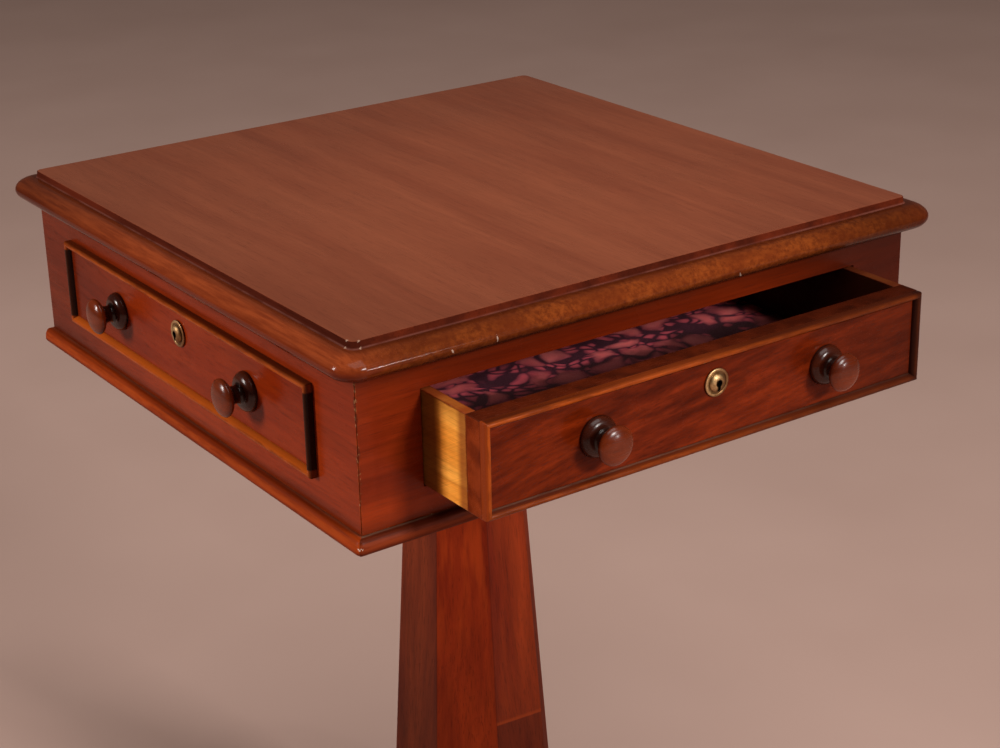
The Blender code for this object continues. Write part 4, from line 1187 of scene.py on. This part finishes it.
# %% Knobs
def knob_shade_and_lines(b, at, colour, rough, height):
    """Painted shade: a black hollow neck, a darker base and a dark seat on the panel; and lathe lines.
    """
    lies = b.carried("section_at")
    x, y, rise = b.split(lies)
    radius = b.vector("LENGTH", b.join(X=x, Y=y))
    # Painted shade: the hollow neck is black.
    neck_shade = b.between(radius, 0.0072, 0.0105, 1.0, 0.0) * b.between(rise, 0.014, 0.017, 1.0, 0.0)
    colour = b.mix(neck_shade * 0.85, colour, tone(22, 9, 7))
    # Painted shade: the base is darker, and the seat against the panel is dark.
    base = b.between(rise, 0.0090, 0.0130, 0.68, 0.0)
    colour = b.mix(base, colour, tone(36, 13, 7))
    seat_shade = b.between(rise, 0.0006, 0.0032, 0.8, 0.0)
    colour = b.mix(seat_shade, colour, tone(26, 11, 8))
    lines = b.use(lathe_group, Height=rise, Pitch=2600.0)["Lines"]
    colour = b.scaled(colour, b.between(lines, 0.3, 0.7, 0.92, 1.08, "LINEAR"))
    return colour, rough, height + lines * 0.25


knob_finish = wood(
    "knob_polish", tone(68, 21, 6), tone(114, 42, 11), grain="X", seed=41.0, follows=True, figure=60.0,
    waviness=0.006, spread=(0.28, 0.74), streak=0.14, pore=0.35, shine=(0.18, 0.23), gloss=0.30,
    coat=0.0, relief=0.006, extra=knob_shade_and_lines,
)
NECK = [(8.5, 7.0), (5.9, 7.3), (5.9, 12.6), (8.17, 15.5)]


def cove(points, steps):
    """A cubic sweep between the first and last point."""
    swept = []
    for i in range(1, steps):
        t = i / steps
        shares = ((1 - t) ** 3, 3 * t * (1 - t) ** 2, 3 * t * t * (1 - t), t ** 3)
        swept.append(tuple(sum(s * p[axis] for s, p in zip(shares, points)) for axis in (0, 1)))
    return swept


knob_points = [
    (0.0, -14.0), (4.5, -14.0), (4.5, 0.3), (14.9, 0.3)
] + arc((8.5, 0.6), (6.75, 6.4), 0, 90, 18)
knob_points += cove(NECK, 12) + arc((0.0, 20.0), (14.25, 5.5), -55, 90, 24)
knob_section = turned_section("knob_section", knob_points)
KNOB_APART = 0.10385
knob_count = 0
for side, (outward, panel) in FACES.items():
    for hand, sign in (("left", -1), ("right", 1)):
        node = f"{'drawer' if side == 'front' else side + '_dummy'}_{hand}_knob"
        place = panel + UP.cross(outward) * sign * KNOB_APART
        knob = grown(
            node + "_turned", lathe_tree, crease=50.0, Section=knob_section, Sides=72,
            Seed=1.0 + knob_count, Place=tuple(place), Turn=facing(outward, UP), Material=knob_finish,
        )
        fit(knob, "knob_mahogany", node)
        knob_count += 1
print("knobs", knob_count, "with", len(knob_points), "points in the section")

# %% [markdown]
# ## Brass plates
# Each keyhole has a small turned plate with a flange, a groove and a domed boss. The keyhole is
# cut with Mesh Boolean, from a drum and a bar. Brass goes brown where no cloth reaches it: in the
# groove, round the rim and inside the hole. The right side of each plate is painted brown as shade.

# %% Brass plates
brass, b, shader = new_finish("aged_brass")
at = b.place()
lies = b.carried("section_at")
x, y, rise = b.split(lies)
radius = b.vector("LENGTH", b.join(X=x, Y=y))
aged = b.use(age_group, Place=at, Scale=260.0)
colour = b.mix(aged["Tarnish"], tone(206, 172, 124), tone(146, 106, 64))
groove = b.between(radius, 0.0066, 0.007) * b.between(radius, 0.008, 0.0088, 1.0, 0.0)
# Painted shade: the right side of the plate is browner.
right_side_shade = b.between(x - y * 0.4, -0.007, 0.007, 0.0, 0.8)
colour = b.mix(right_side_shade, colour, tone(108, 68, 38))
colour = b.mix(groove * 0.6, colour, tone(72, 44, 20))
colour = b.mix(b.between(rise, 0.0004, 0.0012, 0.8, 0.0), colour, tone(48, 30, 14))
colour = b.mix(b.between(radius, 0.0022, 0.003, 1.0, 0.0) * 0.75, colour, tone(40, 26, 14))
colour = b.mix(aged["Specks"] * 0.5, colour, tone(70, 46, 22))
lines = b.use(lathe_group, Height=radius, Pitch=5200.0)["Lines"]
rough = b.between(aged["Tarnish"] + lines * 0.4, 0.0, 1.4, 0.40, 0.64)
paint(b, shader, colour, rough, b.bump(lines, 0.15, 0.0003), Metallic=1.0)

KEYHOLE = [
    ("Hole Diameter", "Float", 0.0048), ("Slot Width", "Float", 0.0025), ("Slot Drop", "Float", 0.0058)
]
plate_tree, b, given, result = piece_tree("keyhole_plate", TURNED + KEYHOLE)
plate = b.use(lathe_core, **{name: given[name] for name, *_ in TURNED})["Turning"]
drum = b.geo("MeshCylinder", {"Vertices": 32, "Radius": given["Hole Diameter"] * 0.5, "Depth": 0.02})
bar_size = b.join(X=given["Slot Width"], Y=given["Slot Drop"], Z=0.02)
bar = b.geo("MeshCube", {"Size": bar_size})
drop = b.join(Y=given["Slot Drop"] * -0.5)
bar = b.geo("Transform", {"Geometry": bar, "Translation": drop})
for cutter in (drum, bar):
    plate = b.geo("MeshBoolean", {"Mesh 1": plate, "Mesh 2": cutter}, operation="DIFFERENCE")
finish_tree(b, given, result, plate)

plate_points = [(0.0, 0.3), (10.1, 0.3), (10.4, 0.6)] + arc((9.8, 1.1), (0.6, 0.6), 0, 90, 6) + [
    (8.6, 1.7), (8.25, 1.55), (8.0, 1.2), (7.2, 1.2)
]
plate_points += arc((3.1, 1.2), (3.8, 2.8), 0, 90, 14) + [(0.0, 4.0)]
plate_section = turned_section("plate_section", plate_points)
KEYHOLE_RISE = 0.0126
for side, (outward, panel) in FACES.items():
    node = "drawer_escutcheon" if side == "front" else side + "_dummy_escutcheon"
    plate = grown(
        node + "_plate", plate_tree, crease=40.0, Section=plate_section, Sides=64, Seed=0.0,
        Place=tuple(panel + UP * KEYHOLE_RISE), Turn=facing(outward, UP), Material=brass,
    )
    fit(plate, "brass", node)
print("brass plates", len(FACES), "with", len(plate.data.polygons), "faces each")

# %% [markdown]
# ## The drawer box
# The sides, back and bottom are pine: straight honey-coloured grain with fine dark lines. Inside,
# the faces are painted dark as shade, and a shadow of the case is painted along each side just
# behind the front; the pine is also darker next to the front, browner on its top edge and darker
# towards the right. The bottom is lined with marbled paper in rose with dark veins, which is a
# sheet that lies a little uneven, with a shadow of the drawer front painted across its front part.

# %% Pine boards
def inside_shade(b, at, colour, rough, height):
    """Painted shade: the faces towards the middle are dark, and a shadow of the case lies along each
    side behind the front; the pine also darkens next to the front and to the right, with plane marks.
    """
    x, y, z = b.split(at)
    # Painted shade on the inner faces of the drawer.
    inner = b.between(abs(x), 0.1896, 0.1902, 1.0, 0.0)
    colour = b.mix(inner * 0.95, colour, tone(24, 12, 7))
    # Darker next to the front.
    colour = b.mix(b.between(y, -0.2540, -0.2615, 0.0, 0.75), colour, tone(120, 52, 20))
    # Painted shadow of the case along each side, fading towards the rear.
    case_shadow = b.between(y, -0.2395, -0.2285, 0.0, 0.86) * b.between(y, -0.212, -0.165, 1.0, 0.45)
    colour = b.mix(case_shadow, colour, tone(84, 29, 9))
    colour = b.mix(b.between(z, 0.6820, 0.6836, 0.0, 0.85), colour, tone(130, 52, 19))
    colour = b.mix(b.between(x, 0.15, 0.18, 0.0, 0.82), colour, tone(76, 30, 13))
    across = z + y * 0.55
    slant = b.join(X=across * 900.0, Y=y * 12.0)
    planed = b.noise(slant, 1.0, 2.0)
    colour = b.scaled(colour, b.between(planed, 0.3, 0.7, 0.9, 1.08, "LINEAR"))
    return colour, rough, height + planed * 0.4


PINE = {
    "drawer_left_side": ("Y", 51.0),
    "drawer_right_side": ("Y", 52.7),
    "drawer_back": ("X", 54.1),
    "drawer_bottom": ("X", 55.8),
}
for node, (grain, seed) in PINE.items():
    finish = wood(
        node + "_pine", tone(226, 138, 44), tone(248, 172, 72), grain=grain, seed=seed, box=box_of(node),
        figure=60.0, waviness=0.006, spread=(0.30, 0.70), streak=0.16, pore=0.22,
        pore_colour=tone(150, 76, 20), rub=tone(176, 92, 28), rub_width=0.0018, shine=(0.45, 0.6),
        gloss=0.08, coat=0.0, relief=0.12, extra=inside_shade,
    )
    eased_board(node, finish, "pine", 0.0005)
print("pine boards", len(PINE))

# %% Marbled lining
paper, b, shader = new_finish("marbled_lining")
at = b.place()
swirl = b.vector("SUBTRACT", b.noise(at, 34.0, 1.0, 0.5, output="Color"), (0.5, 0.5, 0.5))
swept = b.vector("ADD", at, b.scaled(swirl, 0.026))


def stones(size, gap, seed):
    """Rounded blots of ink with gaps between: a mask, a swell to the middle and a number for each."""
    feeds = {"Vector": swept, "Location": (seed, seed, 0.0), "Rotation": (0.0, 0.0, 0.35), "Scale": size}
    spots = b.make("ShaderNodeMapping", feeds)
    feeds = {"Vector": spots, "Scale": 1.0}
    flat = {"voronoi_dimensions": "2D"}
    from_edge = b.make("ShaderNodeTexVoronoi", feeds, "Distance", feature="DISTANCE_TO_EDGE", **flat)
    middles = b.wires(b.node("ShaderNodeTexVoronoi", feeds, feature="F1", **flat))
    from_middle = middles["Distance"]
    blot = b.between(from_edge, *gap) * b.between(from_middle, 0.46, 0.66, 1.0, 0.0)
    swell = b.between(from_edge, gap[0], 0.26) * b.between(from_middle, 0.10, 0.62, 1.0, 0.25)
    return blot, swell, b.split(middles["Color"])[0]


ink = b.mix(b.noise(swept, 120.0, 2.0), tone(58, 22, 34), tone(98, 40, 58))
small, small_swell, small_pick = stones((95.0, 110.0, 1.0), (0.04, 0.16), 3.0)
crumbs = b.mix(small_swell, tone(120, 44, 66), tone(228, 92, 104))
ground = b.mix(small * b.between(small_pick, 0.25, 0.35), ink, crumbs)
large, large_swell, large_pick = stones((31.0, 40.0, 1.0), (0.03, 0.15), 0.0)
rose = b.mix(large_swell, tone(140, 42, 62), tone(255, 118, 116))
rose = b.mix(b.between(b.noise(swept, 140.0, 3.0), 0.35, 0.7, 0.0, 0.35), rose, tone(255, 140, 136))
rose = b.mix(b.between(large_pick, 0.0, 1.0, 0.0, 0.45), rose, tone(186, 54, 74))
shown = large * b.between(large_pick, 0.66, 0.72, 1.0, 0.0)
fibre = b.noise(at, 900.0, 2.0)
# Painted shadow of the drawer front across the front part of the paper, with a wavy edge.
shadow_reach = b.split(at)[1] + b.between(b.noise(at, 28.0, 3.0), 0.3, 0.7, -0.009, 0.009)
front_shadow = b.between(shadow_reach, -0.142, -0.124, 0.70, 0.0)
inked = b.mix(front_shadow, b.mix(shown, ground, rose), tone(52, 22, 20))
paint(b, shader, inked, b.between(fibre, 0.3, 0.7, 0.62, 0.82), b.bump(fibre, 0.08, 0.0002))

SHEET = {"Width": 0.378, "Length": 0.439, "Thickness": 0.0004, "Lift": 0.0005}
sheet_inputs = [(name, "Float", value) for name, value in SHEET.items()]
sheet_tree, b, given, result = piece_tree("lining_sheet", sheet_inputs)
sheet = b.geo(
    "MeshGrid", {"Size X": given["Width"], "Size Y": given["Length"], "Vertices X": 49, "Vertices Y": 57}
)
lie = b.geo("InputPosition")
cockle = b.between(b.noise(lie, 13.0, 2.0), 0.35, 0.75) * given["Lift"]
sheet = b.geo("SetPosition", {"Geometry": sheet, "Offset": b.join(Z=cockle)})
raised = b.geo(
    "ExtrudeMesh", {"Mesh": sheet, "Offset": UP, "Offset Scale": given["Thickness"], "Individual": False}
)
under = b.geo("FlipFaces", {"Mesh": sheet})
whole = b.node("GeometryNodeJoinGeometry")
for part in (raised, under):
    b.feed(whole.inputs[0], part)
feeds = {"Geometry": Wire(b, whole.outputs[0]), "Distance": 0.00001}
closed = b.geo("MergeByDistance", feeds)
finish_tree(b, given, result, closed)
low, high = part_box("drawer_lining")
lining = grown(
    "lining_paper", sheet_tree, Width=high.x - low.x - 0.001, Length=high.y - low.y - 0.001,
    Thickness=0.0004, Lift=0.0005, Place=((low.x + high.x) / 2, (low.y + high.y) / 2, low.z + 0.0001),
    Turn=(0.0, 0.0, 0.0), Material=paper,
)
fit(lining, "marbled_paper", "drawer_lining")
print("lining", len(lining.data.polygons), "faces")

# %% [markdown]
# ## Inside the frieze
# Runners, kickers, the stop, bearers and the pedestal block are plain secondary wood, sawn and
# left without polish, grey with dust.

# %% Inner boards
def saw_marks(b, at, colour, rough, height):
    """Faint arcs left by the saw, and a film of dust."""
    wave = b.make(
        "ShaderNodeTexWave", {"Vector": at, "Scale": 42.0, "Distortion": 3.0, "Detail": 2.0}, out="Fac",
        wave_type="RINGS",
    )
    dust = b.between(b.noise(at, 18.0, 4.0), 0.35, 0.75, 0.0, 0.4)
    colour = b.mix(dust, colour, tone(120, 104, 88))
    return colour, rough + 0.1, height + wave * 0.5


INNER = {
    "left_drawer_runner": "Y", "right_drawer_runner": "Y", "left_kicker": "Y", "right_kicker": "Y",
    "drawer_stop": "X", "left_bearer": "Y", "right_bearer": "Y", "pedestal_block": "X",
}
for number, (node, grain) in enumerate(INNER.items()):
    finish = wood(
        node + "_sawn", tone(112, 74, 42), tone(150, 104, 62), grain=grain, seed=61.0 + 1.3 * number,
        box=box_of(node), figure=30.0, streak=0.25, pore=0.30, rub=tone(172, 128, 82), rub_width=0.002,
        shine=(0.6, 0.75), coat=0.0, relief=0.30, extra=saw_marks,
    )
    eased_board(node, finish, "secondary_wood", 0.0006)
print("inner boards", len(INNER))

# %% [markdown]
# ## Screws
# Four slotted screws hold the pedestal block, and four smaller ones the lock. One tree makes a
# countersunk head, cuts the slot and sets copies on a grid of points, each turned by a seeded
# random angle, because no two slots ever line up.

# %% Screws
steel, b, shader = new_finish("old_screw_steel")
at = b.place()
aged = b.use(age_group, Place=at, Scale=420.0)
rust = b.mix(aged["Specks"], tone(96, 60, 38), tone(58, 38, 28))
colour = b.mix(aged["Tarnish"] * 0.7, tone(128, 122, 116), rust)
b.feed(shader["Metallic"], b.between(aged["Tarnish"], 0.2, 1.0, 1.0, 0.45))
rough = b.between(aged["Tarnish"], 0.0, 1.0, 0.32, 0.62)
paint(b, shader, colour, rough, b.bump(aged["Tarnish"], 0.2, 0.0002))

SLOT = {"Spread X": 0.1, "Spread Y": 0.1, "Slot Width": 0.0012, "Slot Depth": 0.0012}
slot_inputs = [(name, "Float", value) for name, value in SLOT.items()]
screw_inputs = [("Section", "Object")] + slot_inputs + [("Seed", "Int", 3)]
screw_tree, b, given, result = piece_tree("slotted_screws", screw_inputs)
screw = b.use(lathe_core, Section=given["Section"], Sides=32, Seed=0.0)["Turning"]
slot_size = b.join(X=0.05, Y=given["Slot Width"], Z=given["Slot Depth"] * 2.0)
slot_bar = b.geo("MeshCube", {"Size": slot_size})
screw = b.geo("MeshBoolean", {"Mesh 1": screw, "Mesh 2": slot_bar}, operation="DIFFERENCE")
spots = b.geo(
    "MeshGrid",
    {"Size X": given["Spread X"], "Size Y": given["Spread Y"], "Vertices X": 2, "Vertices Y": 2},
)
angle = b.make("FunctionNodeRandomValue", {"Seed": given["Seed"]}, out=1, data_type="FLOAT")
angle = angle * math.pi
spin = as_turn(b, b.join(Z=angle))
copies = b.geo("InstanceOnPoints", {"Points": spots, "Instance": screw, "Rotation": spin})
solid = b.geo("RealizeInstances", {"Geometry": copies})
solid = b.geo(
    "Transform",
    {"Geometry": solid, "Translation": given["Place"], "Rotation": as_turn(b, given["Turn"])},
)
b.feed(result["Piece"], b.geo("SetMaterial", {"Geometry": solid, "Material": given["Material"]}))

block_points = [
    (0.0, 0.0), (4.6, 0.0), (4.95, -0.2), (2.5, -3.2), (2.5, -39.5), (0.6, -40.2), (0.0, -40.2)
]
block_section = turned_section("block_screw_section", block_points)
low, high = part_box("pedestal_block")
block_screws = grown(
    "block_screw_set", screw_tree, crease=40.0, Section=block_section, Spread_X=0.120, Spread_Y=0.130,
    Slot_Width=0.0013, Slot_Depth=0.0012, Seed=4, Place=(0.0, CENTRE.y, low.z + 0.00005),
    Turn=(math.pi, 0.0, 0.0), Material=steel,
)
corners = [f"{end}_{hand}_block_screw" for end in ("front", "rear") for hand in ("left", "right")]
fit(block_screws, "screw_steel", *corners)
print("block screws", len(block_screws.data.polygons), "faces for", len(corners))

# %% [markdown]
# ## The lock
# The lock case is a small brass box let in behind the drawer front, with a bolt that rises out of
# its top edge. Both keep their CAD shape with softened edges.

# %% Lock
lock_brass, b, shader = new_finish("lock_brass")
at = b.place()
aged = b.use(age_group, Place=at, Scale=120.0)
worn = b.use(rub_group, Place=at, Low=box_of("lock_case")[0], High=box_of("lock_case")[1], Width=0.0016)
colour = b.mix(aged["Tarnish"], tone(178, 140, 80), tone(120, 88, 46))
colour = b.mix(aged["Specks"] * 0.6, colour, tone(60, 42, 24))
colour = b.mix(worn["Rub"] * 0.6, colour, tone(222, 190, 128))
rough = b.between(aged["Tarnish"], 0.0, 1.0, 0.30, 0.55)
paint(b, shader, colour, rough, b.bump(aged["Tarnish"], 0.12, 0.0003), Metallic=1.0)
for node in ("lock_case", "lock_bolt"):
    eased_board(node, lock_brass, "brass", 0.0003)

lock_points = [(0.0, 0.0), (1.5, 0.0), (1.9, -0.15), (1.2, -1.0), (0.0, -1.0)]
lock_section = turned_section("lock_screw_section", lock_points)
low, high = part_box("lock_case")
lock_screws = grown(
    "lock_screw_set", screw_tree, crease=40.0, Section=lock_section, Spread_X=0.040, Spread_Y=0.024,
    Slot_Width=0.0006, Slot_Depth=0.0006, Seed=9,
    Place=((low.x + high.x) / 2, high.y + 0.0002, (low.z + high.z) / 2),
    Turn=facing((0, 1, 0), (0, 0, 1)), Material=lock_brass,
)
fit(lock_screws, "brass", body="drawer")
print("lock pieces with", len(lock_screws.data.polygons), "faces of screws")

# %% [markdown]
# ## The pedestal
# The column is eight tapering boards with upright grain, veneered in pieces that differ in colour
# from face to face, with a level joint low on the face to the right. The tints of the faces that
# turn from the light also hold painted shade and reflection, and the column is painted darker
# towards its foot. It stands on a platform with hollow sides and four turned bun feet.

# %% Column
COLUMN_TURN = math.radians(7.8)
# Face tints: partly each veneer's own colour, partly painted shade and reflection on the faces turned
# from the light.
FACE_TINTS_AND_SHADE = [
    (0.95, 0.95, 0.95), (1.08, 1.05, 1.0), (0.85, 0.92, 1.0), (1.05, 1.08, 1.0), (0.56, 0.80, 1.4),
    (0.94, 0.90, 0.80), (0.86, 0.98, 1.15), (0.70, 0.80, 0.90),
]


def column_faces(b, at, colour, rough, height):
    """Each of the eight veneers has its own tint, which on the faces turned from the light holds painted
    shade; one shows flame and one a joint, and all darken towards the foot as painted shade.
    """
    x, y, z = b.split(b.vector("SUBTRACT", at, tuple(CENTRE)))
    bearing = b.sum("ARCTAN2", y, x) - COLUMN_TURN
    turned = bearing / (math.pi / 4) + 8.5
    turned = b.sum("MODULO", turned, 8.0)
    face = b.sum("FLOOR", turned)
    veneer = {}
    for number, tint in enumerate(FACE_TINTS_AND_SHADE):
        veneer[number] = b.make(
            "ShaderNodeMath", {0: face, 1: float(number), 2: 0.1}, operation="COMPARE"
        )
        colour = b.mix(veneer[number], colour, b.vector("MULTIPLY", colour, tint))
    flame = b.noise(at, (70.0, 70.0, 9.0), 3.0, 0.6)
    flame = b.between(flame, 0.46, 0.66) * b.between(z, 0.3, 0.42, 0.35, 1.0)
    colour = b.mix(flame * veneer[5] * 0.5, colour, tone(158, 56, 14))
    across = turned - face
    seam = b.between(across, 0.0, 0.018, 1.0, 0.0) + b.between(across, 0.982, 1.0)
    colour = b.mix(seam * 0.3, colour, tone(60, 20, 11))
    level = z + x * 0.1475
    below = veneer[6] * b.between(level, 0.2615, 0.2623, 1.0, 0.0)
    colour = b.mix(below * 0.75, colour, b.vector("MULTIPLY", colour, (0.55, 0.62, 0.95)))
    lit = b.between(level, 0.262, 0.2628) * b.between(level, 0.2637, 0.2665, 1.0, 0.0)
    colour = b.mix(veneer[6] * lit * 0.5, colour, tone(160, 62, 20))
    # Painted shade: the column darkens towards its foot.
    colour = b.scaled(colour, b.between(z, 0.23, 0.45, 0.66, 1.05))
    return colour, rough + veneer[7] * 0.45, height


column_finish = wood(
    "column_veneer", tone(104, 26, 7), tone(150, 50, 14), grain="Z", seed=71.0, lean=0.03, figure=26.0,
    waviness=0.03, spread=(0.30, 0.72), streak=0.20, pore=0.35, shine=(0.30, 0.42), gloss=0.10, coat=0.0,
    relief=0.07, extra=column_faces,
)
eased_board("column", column_finish, "pedestal_mahogany", 0.0009)

# %% Platform and feet
platform_finish = wood(
    "platform_polish", tone(92, 25, 8), tone(136, 46, 15), grain="X", seed=81.0,
    box=box_of("platform_base"), figure=18.0, waviness=0.04, streak=0.22, pore=0.35,
    rub=tone(148, 60, 22), rub_width=0.004, shine=(0.22, 0.36), relief=0.08,
)
eased_board("platform_base", platform_finish, "pedestal_mahogany", 0.0010)


def foot_wear(b, at, colour, rough, height):
    """Scuffs round the widest part of the foot, and lathe lines."""
    lies = b.carried("section_at")
    rise = b.split(lies)[2]
    scuff = b.between(b.noise(at, 120.0, 4.0, 0.7), 0.5, 0.72)
    scuff = scuff * b.between(abs(rise - 0.018), 0.004, 0.014, 1.0, 0.0)
    colour = b.mix(scuff * 0.6, colour, tone(156, 84, 48))
    lines = b.use(lathe_group, Height=rise, Pitch=1300.0)["Lines"]
    colour = b.scaled(colour, b.between(lines, 0.3, 0.7, 0.94, 1.06, "LINEAR"))
    dirt = b.between(rise, 0.0, 0.006, 0.7, 0.0)
    return b.mix(dirt, colour, tone(36, 18, 12)), rough + scuff * 0.15, height


foot_finish = wood(
    "foot_polish", tone(86, 24, 8), tone(134, 45, 15), grain="X", seed=91.0, follows=True, figure=40.0,
    waviness=0.02, streak=0.25, pore=0.40, shine=(0.20, 0.32), gloss=0.25, relief=0.08, extra=foot_wear,
)
spread = math.degrees(math.acos(22.0 / 36.0))
swell = 18.0 / math.sin(math.radians(spread))
foot_points = [(0.0, 0.0), (20.6, 0.0)] + arc((0.0, 18.0), (36.0, swell), -spread + 2, spread - 2, 30)
foot_points += [(20.4, 36.0), (11.0, 36.0), (11.0, 55.4), (10.4, 56.0), (0.0, 56.0)]
foot_section = turned_section("foot_section", foot_points)
for number, node in enumerate(
    f"{end}_{hand}_foot" for end in ("front", "rear") for hand in ("left", "right")
):
    low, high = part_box(node)
    foot = grown(
        node + "_turned", lathe_tree, crease=45.0, Section=foot_section, Sides=96, Seed=20.0 + number,
        Place=((low.x + high.x) / 2, (low.y + high.y) / 2, 0.0), Turn=(0.0, 0.0, 0.0),
        Material=foot_finish,
    )
    fit(foot, "pedestal_mahogany", node)
print("platform and four feet")

# %% [markdown]
# ## Last steps
# The helper curves go, the CAD nodes that are still bare are listed, and the faces of all the
# dressed pieces are counted.

# %% Last steps
for helper in section_holders:
    bpy.data.objects.remove(helper)
bare = [name for name, node in nodes.items() if not node.hide_render]
print("pieces", len(made_pieces), "CAD nodes still bare", bare)
faces = sum(len(piece.data.polygons) for piece in made_pieces)
print("faces in all", faces)
